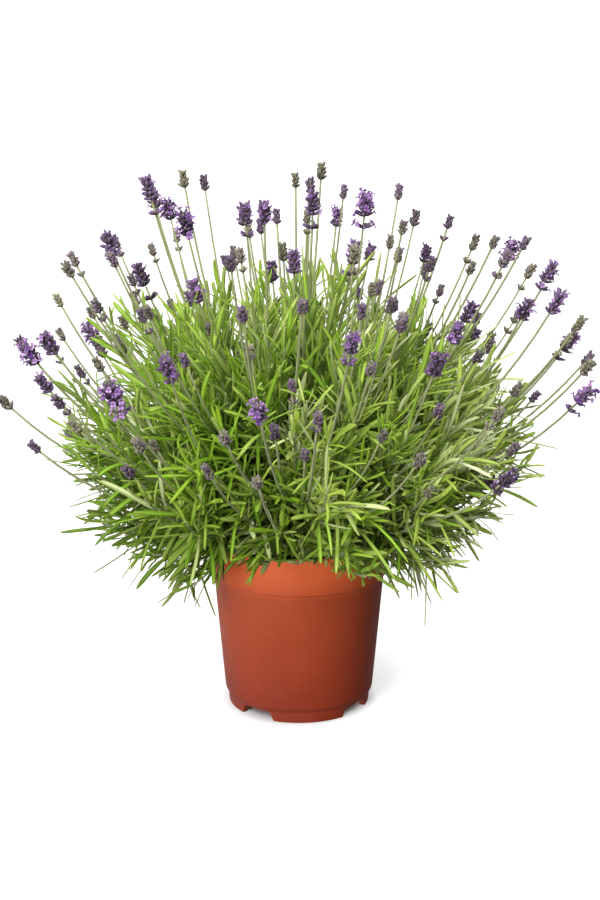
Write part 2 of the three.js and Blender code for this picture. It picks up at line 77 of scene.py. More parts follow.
# Pot: its levels and radii, how far its outline's corners are rounded, and its notches and drain holes
POT_HEIGHT = 166.0
RIM_RADIUS = 84.8
BAND_BOTTOM_RADIUS = 83.6
BAND_BOTTOM = 130.0
BAND_SLOPE = 0.8
BODY_TOP_RADIUS = 81.2
BODY_BOTTOM_RADIUS = 70.9
STEP_TOP = 14.2
STEP_BOTTOM = 10.6
FOOT_TOP_RADIUS = 68.2
FOOT_RADIUS = 67.4
FOOT_INNER_RADIUS = 62.0
FLOOR_BOTTOM = 10.0
WALL = 2.0
POT_ROUNDINGS = (0.6, 0.6, 0.7, 1.66, 1.66, 1.0, 0.7, 0.95, 0.95, 2, 2, 2, 2)
CORNER_ROOM = 0.45
POT_SHARP = 35
NOTCHES = 4
NOTCH_TOP_HALF = 12.0
NOTCH_GROUND_HALF = 18.5
NOTCH_HEIGHT = 9.4
NOTCH_LEVEL = 0.4
NOTCH_FLARE = 2.4
NOTCH_SOFT = 1.25
NOTCH_STEPS = (8, 12, 14)
FIRST_NOTCH = -36.5
DRAIN_HOLES = 4
DRAIN_RING_RADIUS = 42.0
DRAIN_RADIUS = 5.0
DRAIN_POINTS = 28
DRILL_PAST = 2

# Soil
FIT_GAP = 0.35
SOIL_EDGE = 148.5
SOIL_TOP = 153.0
SOIL_RINGS = 44
SOIL_FIRST_STEP = 1.2
SOIL_LAST_RADIUS = 1.5
SOIL_POINTS = 150
SOIL_WAVES = ((16, 0.9), (5, 0.7))
CRUMBS = 420
CRUMBS_WITHIN = 0.97
CRUMB_RISE = 0.6
CRUMB_SIZES = (0.8, 2.4)
CRUMB_STRETCHES = (1, 2.2)
CRUMB_RADII = (0.7, 1.0, 0.6)
BIG_CRUMBS_OVER = 0.9

# Main stems, as in the solids: rings of how many stems, root radius, lean and turn
STEM_RINGS = [(1, 0.0, 0.0, 0.0), (5, 21.0, 30.0, 20.0), (8, 43.0, 57.0, 0.0)]
CROWN = np.array([0.0, 0.0, 150.0])
HOLE_BOTTOM = 136.0
WOOD_STRAIGHT = 3.0
WOOD_RADIUS = 2.5
WOOD_TIP_RADIUS = 1.8
WOOD_REACH = 92.0
WOOD_RINGS = 12

# Flower stalks, as in the solids
SEED = 38
STALKS = 108
GOLDEN_ANGLE = 137.508
WIDEST_POLAR = 63.0
DOME_REACH = 356.0
DOME_SHOULDER = 35.0
DOME_FALL = 0.08
SHORTEST_SHARE = 0.26
STALK_JITTER = 3.0
STEEPEST_JITTER = 12.0
LEAVE_LEAN = 1.12
END_LEAN = 0.72
LOWEST_LEAN = 88.0
HANDLE = 0.38
STALK_RADIUS = 1.3
STALK_TIP_RADIUS = 0.95
STALK_RINGS = 13
LOWEST_FORK = 0.3
HIGHEST_FORK = 0.93
STALK_SIZES = (0.85, 1.15)
BARE_SHARES = (0.28, 0.52)

# Side shoots, as in the solids
SIDE_SHOOTS = 22
SIDE_REACH = 146.0
SIDE_RISE = 140.0
SIDE_JITTER = 8.0
SIDE_TURN = 17.0
SIDE_LEAVE_LEAN = 0.7
LOW_END_LEAN = 1.35

# Late stalks that only this script adds, each with a closed head
LATE_STALKS = 58
LATE_WIDEST = 64.0
LATE_REACH = 318.0
LATE_SHORTEST = 0.26
LATE_TURN = 75.0
LATE_JITTER = 4
LATE_TURN_JITTER = 9
LATE_SIZES = (0.8, 1.1)

# Leafy shoots that only this script adds: how far their tips are from the crown, by how far they lean from upright.
# Past FILL_LOW_FROM they leave the stems lower and hang more. Past FILL_HANG_FROM and within FILL_FRONT of the front,
# every second one is left out, so that the rim shows.
FILL_SHOOTS = 200
FILL_WIDEST = 107.0
FILL_LEANS = (0.0, 45.0, 66.0, 78.0, 92.0, 107.0)
FILL_REACHES = (258.0, 262.0, 232.0, 188.0, 132.0, 104.0)
FILL_LONGEST = 1.03
FILL_SHORTEST = 0.68
FILL_SHORT_FEWER = 1.3
FILL_LEFT_MORE = 0.03
FILL_JITTER = 3
FILL_TURN = 40
FILL_TURN_JITTER = 7
FILL_LOW_FROM = 66
FILL_HANG_FROM = 82
FILL_FRONT = 65
FILL_LEAVE_LEANS = (1.05, 0.62)
FILL_END_LEANS = (0.62, 1.5)
FILL_END_LATER = 1.5
FILL_FORKS = (0.95, 0.35)
FILL_FORK_JITTER = 0.3
SPLAY_LEANS = (20, 75)
SPLAYS = (0.55, 1.0)

# The front, where the rim shows: the sight line over the rim, and how far below it leaves may hang, by their place
SIGHT_BELOW_RIM = 4
SIGHT_SLOPE = 0.328
SIGHT_LENGTH = 1600
SIGHT_ASIDE = (0.0, 24.0, 36.0, 60.0, 88.0, 112.0, 130.0)
SIGHT_DROP = (0.0, 2.0, 14.0, 19.0, 20.0, 34.0, 400.0)

# The room that leaves keep from the pot: inside its wall, over the soil, over its rim and outside it
CLEAR_INSIDE = 1.5
CLEAR_SOIL = -1
CLEAR_OVER = 0.6
CLEAR_OUTSIDE = 0.8

# Leaves on each kind of shoot: the share of it that has them, the gaps between pairs near its tip and far from it,
# small leaves in each axil, size, leans near the tip and far from it, and how far below the sight line they may hang
FILL_LEAFY = 0.82
FILL_LEAVES = {"gaps": (7, 15), "tufts": 1, "size": 1.0, "leans": (14, 56)}
SIDE_LEAFY = 0.85
SIDE_LEAVES = {"gaps": (7, 15), "tufts": 1, "size": 1.0, "leans": (16, 58), "hang": 13.0}
STALK_LEAVES = {"gaps": (12, 17), "tufts": 2, "size": 1.1, "leans": (20, 38)}
BARE_NECK = 0.04
FIRST_LEAF = 0.5
LEAFLESS_FOOT = 8
GAP_REACH = 70
GAP_JITTER = 0.15
PAIR_JITTER = 16
GROWN_START = 5
GROWN_REACH = 24

# Leaves: their size, the share of it at a young and a full age, and the ranges that a leaf's own share comes from
LEAF_LENGTH = 49.0
LEAF_GROWTH = (0.34, 1.08)
LEAF_LENGTHS = (0.66, 1.26)
LONGEST_LEAF = 57.0
LEAF_WIDTH = 5.1
WIDTH_GROWTH = (0.62, 1.06)
LEAF_WIDTHS = (0.5, 1.14)
LEAF_THICKNESS = 1.1
THICKNESS_OF_WIDTH = 0.28
THICKNESS_AT_END = 0.55
LEAN_JITTER = 9
FACE_UP = 0.45
FACE_JITTER = 0.22
DROOPS = (-0.5, 0.95)
DROOP_GROWTH = (0.25, 1.0)
BACK_BENDS = (-0.85, 0.8)
BACK_BEND = 0.7
BEND_JITTER = 0.22
TWIST_SPREAD = 0.55
LEAF_SEAT = 0.5

# Small leaves in the axils: from how far below the tip, their place beside the large one, and their share of its size
TUFTS_BELOW = 16
TUFT_RISE = 1.2
TUFT_TURNS = (20, 60)
TUFT_LENGTHS = (0.4, 0.8)
TUFT_WIDTH = 0.68
TUFT_LEAN = 0.75
TUFT_DROOP = 0.4

# Leaf colour: tone by shoot and by leaf, made paler to the right as painted light, and painted shade near the crown
# and below a tilted level. The painted shade falls by one over DEEP_REACH from the crown, and grows by one over
# LOW_FADE below the level.
SHOOT_TONE = (0.3, 0.28)
LEAF_TONE_SPREAD = 0.24
# Painted light: how much paler leaves are made towards the right, where more light falls
RIGHT_PAINTED_LIGHT = 0.36
RIGHT_REACH = 200
YOUNG_FADE = 1.25
YOUNG_SHARES = (0.6, 1)
DEEP_MOST = 1.25
DEEP_REACH = 150
DEEP_SINK = 20
LOW_LEVEL = 222
LOW_TILT = 0.3
LOW_FADE = 90
LOW_MOST = 0.68

# Flower heads: length, length of a cup, whorls, cups in a whorl, the cups' lean from the lowest whorl to the highest,
# how violet and how pale, and the odds of one more whorl below
OPEN_HEAD = {
    "length": 25.0, "cup": 6.7, "whorls": 5, "cups": 7, "lean": (60, 28),
    "violet": (0.5, 1.0), "tone": (0.0, 0.9), "low_whorl": 0.5,
}
CLOSED_HEAD = {
    "length": 18.0, "cup": 5.6, "whorls": 4, "cups": 6, "lean": (44, 20),
    "violet": (0.0, 0.62), "tone": (0.15, 0.9), "low_whorl": 0.3,
}
LOW_WHORL_DROPS = (7, 13)
OPEN_SHARES = (0.08, 0.2, 0.45)
OPEN_ODDS = (0.45, 0.35, 0.2)
BUD_SHARE = 0.4
SEAT_GAP = 0.35

# Cups, flowers and bracts: draws by cup, a flower's size by how open its head is, and its five lobes
CUP_TURN_JITTER = 15
CUP_LEAN_JITTER = 12
CUP_LENGTHS = (0.78, 1.15)
CUP_RADII = (0.19, 0.25)
CUP_TONE_SPREAD = 0.2
CUP_VIOLET_SPREAD = 0.12
TOP_CUPS_FROM = 0.75
TOP_CUPS_SHORT_FROM = 0.8
TOP_CUP_LENGTH = 0.85
CUP_MOUTH_DEPTH = 0.82
FLOWER_SIZES = (2.5, 3.2)
FLOWER_SIZE_DRAWS = (0.85, 1.1)
WIDE_OPEN_OVER = 0.4
FLOWER_TONE = (0.5, 0.25)
LOBE_TURNS = (60, 120, 200, 270, 340)
LOBE_SIZES = (1.15, 1.15, 0.8, 0.9, 0.8)
LOBE_SPREADS = (48, 78)
LOBE_SIZE_DRAWS = (0.85, 1.15)
LOBE_THICKNESS = 0.12
BUD_TONES = (0, 0.6)
BRACT_LEAN = 52
BRACT_SIZES = (0.55, 0.8)
BRACT_THICKNESS = 0.1
BRACT_JITTER = 12

# Colours, as sRGB bytes
COLOURS = {
    "deep leaf": (102, 145, 0),
    "pale leaf": (184, 196, 104),
    "young leaf": (160, 190, 36),
    "leaf patch": (98, 140, 6),
    "silvery leaf": (208, 214, 184),
    "leaf rib": (204, 216, 124),
    "dry leaf tip": (140, 136, 50),
    "leaf underside": (188, 204, 128),
    "low stalk": (150, 170, 86),
    "high stalk": (128, 131, 96),
    "dull stalk": (116, 126, 76),
    "stalk felt": (180, 186, 134),
    "dark bark": (64, 50, 34),
    "pale bark": (128, 108, 78),
    "deep green calyx": (84, 88, 52),
    "pale green calyx": (150, 150, 106),
    "deep violet calyx": (36, 12, 46),
    "pale violet calyx": (108, 82, 120),
    "calyx rib": (178, 164, 178),
    "deep petal": (98, 50, 128),
    "pale petal": (204, 164, 216),
    "petal throat": (70, 30, 104),
    "dark bract": (92, 84, 56),
    "pale bract": (146, 130, 98),
    # Painted shade low on the pot and painted light high on it: a darker and a lighter copy of its colour
    "painted shade pot": (116, 36, 12),
    "painted shade pot mottle": (130, 44, 17),
    "painted light pot": (152, 60, 26),
    "painted light pot mottle": (166, 70, 34),
    "pot streak": (126, 45, 23),
    "pot dust": (110, 62, 44),
    # Painted light on the rim's band
    "painted light band": (244, 110, 56),
    "peat": (18, 13, 9),
    "dry peat": (58, 42, 29),
    "peat fibre": (98, 72, 46),
}
NO_SHADE = (1.0, 1.0, 1.0, 1.0)
# Painted shade: what the colour of leaves deep in the plant and low down is multiplied by
LEAF_PAINTED_SHADE = (0.26, 0.32, 0.08, 1.0)
# Painted shade: what the foot of each calyx cup is multiplied by
CALYX_PAINTED_SHADE = (0.36, 0.3, 0.36, 1.0)


# ---------------------------------------------------------------- numbers


def dice(seed):
    """The solids' own source of even draws between two numbers: a 32-bit mix of a counter."""
    full = 0xFFFFFFFF
    state = seed & full

    def draw(low, high):
        """The next draw: the state moves on by a fixed step and is mixed by shifts and products."""
        nonlocal state
        state = (state + 0x6D2B79F5) & full
        mix = ((state ^ (state >> 15)) * (state | 1)) & full
        mix = ((mix + (((mix ^ (mix >> 7)) * (mix | 61)) & full)) & full) ^ mix
        return low + (high - low) * (mix ^ (mix >> 14)) / 4294967296

    return draw


def lerp(low, high, share):
    """The value a share of the way from low to high."""
    return low + (high - low) * share


def unit(vectors):
    """Vectors at unit length."""
    return vectors / np.maximum(np.linalg.norm(vectors, axis=-1, keepdims=True), 1e-9)


def dot(one, other):
    """The dot product along the last axis, kept as an axis."""
    return (one * other).sum(-1, keepdims=True)


def square(vectors, axis):
    """The part of vectors that is square to unit axes, at unit length."""
    return unit(vectors - axis * dot(vectors, axis))


def sides_of(way, other=UP):
    """Two unit sides of each way: one square to it and to another vector, and one square to both."""
    first = square(np.cross(way, other) + 1e-6, way)
    return first, np.cross(way, first)


def round_way(first, second, turn):
    """Ways round an axis, from its first side towards its second: first * cos + second * sin of each turn."""
    return first * np.cos(turn) + second * np.sin(turn)


def circle(first, second, points):
    """The ways round each axis to evenly spaced points."""
    turns = (np.arange(points) * 2 * math.pi / points)[:, None]
    return round_way(first[..., None, :], second[..., None, :], turns)


def direction(polar, azimuth):
    """Unit vectors at polar angles from +Z and azimuths from +X, in degrees."""
    polar, azimuth = np.broadcast_arrays(np.radians(polar), np.radians(azimuth))
    across = np.sin(polar)
    return np.stack([across * np.cos(azimuth), across * np.sin(azimuth), np.cos(polar)], -1)


def angle_up(vector):
    """How far a vector leans from upright: the arc cosine of its rise over its length."""
    return math.degrees(math.acos(max(-1.0, min(1.0, float(vector[2] / np.linalg.norm(vector))))))


def even_polar(share, widest):
    """The polar angle that has a share of a dome's area inside it: arc cosine of 1 - share * (1 - cos widest)."""
    return math.degrees(math.acos(1 - share * (1 - math.cos(math.radians(widest)))))


def curve_points(curves, t):
    """Points of cubic curves (..., 4, 3) at shares t (...): the sum of the corners by the four cubic weights."""
    t = np.asarray(t)[..., None]
    weights = [(1 - t) ** 3, 3 * t * (1 - t) ** 2, 3 * t * t * (1 - t), t**3]
    return sum(weight * curves[..., i, :] for i, weight in enumerate(weights))


def curve_ways(curves, t):
    """Unit tangents of cubic curves at shares t: the sum of the corner steps by the three quadratic weights."""
    t = np.asarray(t)[..., None]
    steps = np.diff(curves, axis=-2)
    weights = [(1 - t) ** 2, 2 * t * (1 - t), t * t]
    return unit(sum(weight * steps[..., i, :] for i, weight in enumerate(weights)))


def curve_lengths(curves):
    """Lengths of cubic curves: the sum of sixteen chords."""
    marks = np.linspace(0, 1, 17)
    chords = np.diff(curve_points(curves[:, None], np.broadcast_to(marks, (len(curves), 17))), axis=1)
    return np.linalg.norm(chords, axis=-1).sum(1)


# ---------------------------------------------------------------- meshes


def pods(rings, first, last, finish=0, **marks):
    """Closed surfaces over rings (pods, rings, points, 3), each closed by a first and a last point.

    Ring points turn anticlockwise seen against the way forward. Marks are numbers for the materials: one a pod, one a
    ring or one a point. A pole takes the mean of the ring beside it.
    """
    count, tall, round_, _ = rings.shape
    points = np.concatenate([first[:, None], rings.reshape(count, tall * round_, 3), last[:, None]], 1)
    here = 1 + np.arange(tall)[:, None] * round_ + np.arange(round_)
    after = np.roll(here, -1, 1)
    quads = np.stack([here[:-1], after[:-1], after[1:], here[1:]], -1).reshape(-1, 4)
    bottom = np.stack([np.zeros(round_, int), after[0], here[0]], -1)
    top = np.stack([here[-1], after[-1], np.full(round_, tall * round_ + 1)], -1)
    starts = np.arange(count)[:, None, None] * points.shape[1]
    carried = {}
    for name, values in marks.items():
        values = np.asarray(values, float)
        values = values.reshape(values.shape + (1,) * (3 - values.ndim))
        values = np.broadcast_to(values, (count, tall, round_))
        ends = [values[:, :1].mean(2), values[:, -1:].mean(2)]
        carried[name] = np.concatenate([ends[0], values.reshape(count, tall * round_), ends[1]], 1).ravel()
    return {
        "points": points.reshape(-1, 3),
        "quads": (quads[None] + starts).reshape(-1, 4),
        "tris": (np.concatenate([bottom, top])[None] + starts).reshape(-1, 3),
        "finish": finish,
        "marks": carried,
    }


def put(name, data):
    """A new object in the scene, at the origin."""
    made = bpy.data.objects.new(name, data)
    bpy.context.scene.collection.objects.link(made)
    return made


def piece(name, sets, finishes, replaces, sharp=None):
    """One object from several sets of pods. It rides on the root body and stands for the solids that it names."""
    sets = [each for each in sets if len(each["points"])]
    names = sorted({mark for each in sets for mark in each["marks"]})
    starts = np.cumsum([0] + [len(each["points"]) for each in sets])
    quads = np.concatenate([each["quads"] + start for each, start in zip(sets, starts)])
    tris = np.concatenate([each["tris"] + start for each, start in zip(sets, starts)])
    points = np.concatenate([each["points"] for each in sets]) * MM
    finish = [np.full(len(each[kind]), each["finish"]) for kind in ("quads", "tris") for each in sets]
    loop_starts = np.concatenate([np.arange(len(quads)) * 4, quads.size + np.arange(len(tris)) * 3])
    mesh = bpy.data.meshes.new(name)
    mesh.vertices.add(len(points))
    mesh.vertices.foreach_set("co", points.astype(np.float32).ravel())
    mesh.loops.add(quads.size + tris.size)
    mesh.loops.foreach_set("vertex_index", np.concatenate([quads.ravel(), tris.ravel()]).astype(np.int32))
    mesh.polygons.add(len(loop_starts))
    mesh.polygons.foreach_set("loop_start", loop_starts.astype(np.int32))
    mesh.polygons.foreach_set("material_index", np.concatenate(finish).astype(np.int32))
    mesh.polygons.foreach_set("use_smooth", np.ones(len(loop_starts), bool))
    mesh.update(calc_edges=True)
    for mark in names:
        values = [each["marks"].get(mark, np.zeros(len(each["points"]))) for each in sets]
        attribute = mesh.attributes.new(mark, "FLOAT", "POINT")
        attribute.data.foreach_set("value", np.concatenate(values).astype(np.float32))
    for material in finishes:
        mesh.materials.append(material)
    if sharp is not None:
        mesh.set_sharp_from_angle(angle=math.radians(sharp))
    made = put(name, mesh)
    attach(made, "root")
    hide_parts(*replaces)
    return made


def spun(radius, height, turns):
    """Rings round the upright axis: (radius * cos, radius * sin, height) at each turn."""
    height = np.broadcast_to(height, (len(radius), len(turns)))
    return np.stack([radius * np.cos(turns), radius * np.sin(turns), height], -1)


def tubes(paths, ways, side, radii, points, corner=0.0, **marks):
    """Round or squarish tubes: a ring of points carried along each path, which bulges by corner at four corners."""
    first = square(side[:, None], ways)
    swell = 1 + corner * np.cos(4 * np.arange(points) * 2 * math.pi / points)
    ring = circle(first, np.cross(ways, first), points) * swell[:, None]
    rings = paths[:, :, None] + ring * radii[..., None, None]
    return pods(rings, paths[:, 0], paths[:, -1], **marks)


def cones(foot, way, sides, marks, swell, length, radius, points, end):
    """Cups and buds: rings round each way at marks of the length, as wide as swell says of the radius. The last point
    lies at the end share of the length."""
    paths = foot[:, None] + way[:, None] * (np.array(marks)[:, None] * length[:, None, None])
    reach = (radius[:, None] * np.array(swell))[..., None, None]
    return {
        "rings": paths[:, :, None] + circle(*sides, points)[:, None] * reach,
        "first": paths[:, 0],
        "last": foot + way * (length * end)[:, None],
    }


def thin_scales(root, out, face, size, marks, swell, thickness):
    """Lobes and bracts: two rings of four points at marks of the size, swell of the size wide to either side, and
    thin, between a root and a point at the end."""
    section = np.array([(1, 0), (0, thickness), (-1, 0), (0, -thickness)])
    centre = root[:, None] + out[:, None] * (np.array(marks)[:, None] * size[:, None, None])
    half = (size[:, None] * np.array(swell))[..., None, None]
    across = np.cross(face, out)[:, None, None] * (half * section[:, :1])
    through = face[:, None, None] * (half * section[:, 1:])
    return {"rings": centre[:, :, None] + across + through, "first": root, "last": root + out * size[:, None]}


# ---------------------------------------------------------------- finishes


def paint(name):
    """A colour as the material sockets want it, from its sRGB bytes."""
    shares = np.array(COLOURS[name]) / 255
    linear = np.where(shares <= 0.04045, shares / 12.92, ((shares + 0.055) / 1.055) ** 2.4)
    return (*linear.tolist(), 1.0)


class Nodes:
    """Short ways to add nodes to a tree."""

    def __init__(self, tree):
        self.tree = tree

    def node(self, kind, inputs=(), **settings):
        """A node whose inputs, by name or number, are values or other nodes' outputs."""
        made = self.tree.nodes.new("ShaderNode" + kind)
        for setting, value in settings.items():
            setattr(made, setting, value)
        for key, value in dict(inputs).items():
            if isinstance(value, bpy.types.NodeSocket):
                self.tree.links.new(value, made.inputs[key])
            else:
                made.inputs[key].default_value = value
        return made

    def spread(self, value, low, high, to_low=0.0, to_high=1.0):
        """A number taken from one range to another, and kept in it."""
        ends = {"Value": value, "From Min": low, "From Max": high, "To Min": to_low, "To Max": to_high}
        return self.node("MapRange", ends).outputs[0]

    def count(self, operation, one, other=0.0):
        """One sum with two numbers."""
        return self.node("Math", {0: one, 1: other}, operation=operation).outputs[0]


class Finish(Nodes):
    """A material in the making: its node tree and its shader."""

    def __init__(self, name, **sockets):
        self.material = bpy.data.materials.new(name)
        self.material.use_nodes = True
        super().__init__(self.material.node_tree)
        self.shader = self.tree.nodes["Principled BSDF"]
        for socket, value in sockets.items():
            self.shader.inputs[socket.replace("_", " ")].default_value = value

    def marks(self, *names):
        """Numbers that the mesh carries."""
        return [self.node("Attribute", attribute_name=name).outputs["Fac"] for name in names]

    def mix(self, share, one, other, blend="MIX"):
        """Two colours mixed by a share."""
        return self.node("Mix", {0: share, 6: one, 7: other}, data_type="RGBA", blend_type=blend).outputs[2]

    def between(self, share, one, other):
        """A colour between two named ones."""
        return self.mix(share, paint(one), paint(other))

    def layers(self, body, *layers):
        """Named colours laid over a body, one after the other: each by its share times its strength."""
        for share, strength, colour in layers:
            body = self.mix(self.count("MULTIPLY", share, strength), body, paint(colour))
        return body

    def place(self, scale=(1.0, 1.0, 1.0)):
        """Object coordinates, stretched."""
        source = self.node("TexCoord").outputs["Object"]
        return self.node("Mapping", {"Vector": source, "Scale": scale}).outputs[0]

    def noise(self, scale, detail=2.0, stretch=(1.0, 1.0, 1.0), rough=0.5):
        """Cloudy noise, so many times a metre."""
        inputs = {"Vector": self.place(stretch), "Scale": scale, "Detail": detail, "Roughness": rough}
        return self.node("TexNoise", inputs).outputs[0]

    def bump(self, height, strength, reach):
        """Relief from a height."""
        made = self.node("Bump", {"Height": height, "Strength": strength, "Distance": reach})
        self.use("Normal", made.outputs[0])

    def use(self, socket, source):
        """Feeds a node's output to the shader."""
        self.tree.links.new(source, self.shader.inputs[socket])


def leaf_finish():
    """Narrow felted leaves: green by leaf, yellower while young, silvery where they are palest, darkened by painted
    shade deep in the plant and low down, with patches, a pale midrib, a dry tip and a grey underside."""
    made = Finish("lavender_leaf", Roughness=0.5, Specular_IOR_Level=0.18)
    tone, along, across, under, young, depth = made.marks("tone", "along", "across", "under", "young", "depth")
    rib = made.spread(made.count("ABSOLUTE", across), 0.0, 0.26, 1.0, 0.0)
    body = made.layers(
        made.between(tone, "deep leaf", "pale leaf"),
        (young, 0.75, "young leaf"),
        (made.spread(made.noise(55, 3), 0.35, 0.7), 0.45, "leaf patch"),
        # where painted light has raised the tone on the right, more leaves turn silvery
        (made.spread(tone, 0.66, 1.0), 0.75, "silvery leaf"),
        (rib, 0.45, "leaf rib"),
        (made.spread(along, 0.86, 1.0), 0.4, "dry leaf tip"),
        (under, 0.5, "leaf underside"),
    )
    # Painted shade: the leaf colour is multiplied down deep in the plant and low down
    made.use("Base Color", made.mix(1.0, body, made.mix(depth, NO_SHADE, LEAF_PAINTED_SHADE), "MULTIPLY"))
    felt = made.noise(1400, 2)
    made.bump(made.count("ADD", felt, made.count("MULTIPLY", rib, -1.5)), 0.25, 0.0004)
    return made.material


def stalk_finish():
    """Square stalks: green low down, greyer above, with pale felt in streaks, and brown bark on the oldest wood."""
    made = Finish("lavender_stalk", Roughness=0.7, Specular_IOR_Level=0.3, Sheen_Weight=0.15)
    tone, along, wood = made.marks("tone", "along", "wood")
    body = made.layers(
        made.between(along, "low stalk", "high stalk"),
        (tone, 0.45, "dull stalk"),
        (made.spread(made.noise(160, 3, (1, 1, 0.12)), 0.35, 0.7), 0.25, "stalk felt"),
    )
    bark = made.between(made.noise(240, 4, (1, 1, 0.2)), "dark bark", "pale bark")
    made.use("Base Color", made.mix(wood, body, bark))
    made.bump(made.noise(900, 3, (1, 1, 0.25)), 0.35, 0.0005)
    return made.material


def calyx_finish():
    """Ribbed felted calyces: from grey-green at the root to violet at the mouth, more or less violet by head, with
    painted shade at each cup's foot.
    """
    made = Finish("lavender_calyx", Roughness=0.7, Specular_IOR_Level=0.12, Sheen_Weight=0.08)
    tone, along, violet, across = made.marks("tone", "along", "violet", "across")
    green = made.between(tone, "deep green calyx", "pale green calyx")
    purple = made.between(tone, "deep violet calyx", "pale violet calyx")
    share = made.spread(made.count("ADD", violet, made.count("MULTIPLY", along, 0.5)), 0.35, 0.95)
    ribs = made.spread(made.count("SINE", made.count("MULTIPLY", across, 26.0)), -1, 1)
    body = made.layers(made.mix(share, green, purple), (ribs, 0.22, "calyx rib"))
    # Painted shade: each cup is darker at its foot, where the whorls shade one another
    deep = made.mix(made.spread(along, 0.1, 0.75), CALYX_PAINTED_SHADE, NO_SHADE)
    made.use("Base Color", made.mix(1.0, body, deep, "MULTIPLY"))
    made.bump(made.count("ADD", ribs, made.noise(1500, 2)), 0.4, 0.0003)
    return made.material


def petal_finish():
    """Small open flowers: light violet, darker in the throat."""
    made = Finish("lavender_petal", Roughness=0.55, Specular_IOR_Level=0.2, Sheen_Weight=0.1)
    tone, along = made.marks("tone", "along")
    body = made.between(tone, "deep petal", "pale petal")
    made.use("Base Color", made.layers(body, (made.spread(along, 0.45, 0.0), 0.8, "petal throat")))
    made.bump(made.noise(900, 2), 0.2, 0.0003)
    return made.material


def bract_finish():
    """Papery bracts under the whorls: dry brown-green."""
    made = Finish("lavender_bract", Roughness=0.75, Specular_IOR_Level=0.2)
    made.use("Base Color", made.between(*made.marks("tone"), "dark bract", "pale bract"))
    made.bump(made.noise(1100, 2), 0.3, 0.0003)
    return made.material


def plastic_finish():
    """Moulded terracotta-coloured plastic: satin, faintly mottled and streaked, dusty low down, with painted shade
    low down, painted light high up and a brighter painted light on the rim's band, with a fine matt grain."""
    made = Finish("terracotta_plastic", Roughness=0.46, Specular_IOR_Level=0.3)
    mottle = made.spread(made.noise(14, 4), 0.3, 0.7)
    height = made.node("SeparateXYZ", {0: made.place()}).outputs[2]
    # Painted shade low on the pot and painted light high on it: a darker and a lighter copy of the plastic's colour
    low = made.between(mottle, "painted shade pot", "painted shade pot mottle")
    high = made.between(mottle, "painted light pot", "painted light pot mottle")
    dust = made.count("MULTIPLY", made.spread(height, 0.05, 0.0), made.spread(made.noise(60, 4), 0.4, 0.8))
    body = made.layers(
        # mixed by height, from the painted shade low down to the painted light high up
        made.mix(made.spread(height, 0.02, 0.13), low, high),
        (made.spread(made.noise(36, 3, (1, 1, 0.12)), 0.45, 0.75), 0.14, "pot streak"),
        (dust, 0.16, "pot dust"),
        # Painted light: the rim's band is made much brighter, as if lit
        (made.spread(height, BAND_BOTTOM * MM - 0.006, POT_HEIGHT * MM), 0.95, "painted light band"),
    )
    made.use("Base Color", body)
    made.use("Roughness", made.spread(made.noise(70, 4), 0.3, 0.7, 0.4, 0.54))
    made.bump(made.noise(1300, 3), 0.12, 0.0003)
    return made.material


def soil_finish():
    """Moist potting soil: near-black peat with brown fibres."""
    made = Finish("potting_soil", Roughness=0.92, Specular_IOR_Level=0.2)
    body = made.between(made.noise(260, 6, rough=0.7), "peat", "dry peat")
    made.use("Base Color", made.layers(body, (*made.marks("tone"), 0.6, "peat fibre")))
    made.bump(made.noise(420, 8, rough=0.75), 0.9, 0.003)
    return made.material


# ---------------------------------------------------------------- pot and soil


def foot_height(azimuth):
    """How high the foot ring's lower edge is: nought on a foot and a notch's height between two. Over the flare it is
    height * (1 - (1 - share) ^ NOTCH_FLARE) ^ NOTCH_SOFT of the share of the flare that is passed."""
    gap = 360 / NOTCHES
    turn = (azimuth - FIRST_NOTCH + gap / 2) % gap - gap / 2
    arc = np.radians(np.abs(turn)) * FOOT_RADIUS
    share = np.clip((NOTCH_GROUND_HALF - arc) / (NOTCH_GROUND_HALF - NOTCH_TOP_HALF), 0, 1)
    return NOTCH_HEIGHT * (1 - (1 - share) ** NOTCH_FLARE) ** NOTCH_SOFT


def rounded(corners, radius, steps=4):
    """An outline with its inner corners rounded: each one becomes a quadratic curve between two points near it."""
    corners = np.array(corners, float)
    made = [corners[:1]]
    for before, corner, after, reach in zip(corners, corners[1:], corners[2:], radius):
        low, high = before - corner, after - corner
        room = min(reach, CORNER_ROOM * np.linalg.norm(low), CORNER_ROOM * np.linalg.norm(high))
        start, end = corner + unit(low) * room, corner + unit(high) * room
        t = np.linspace(0, 1, steps)[:, None]
        made.append(start * (1 - t) ** 2 + 2 * corner * t * (1 - t) + end * t**2)
    made.append(corners[-1:])
    return np.concatenate(made)


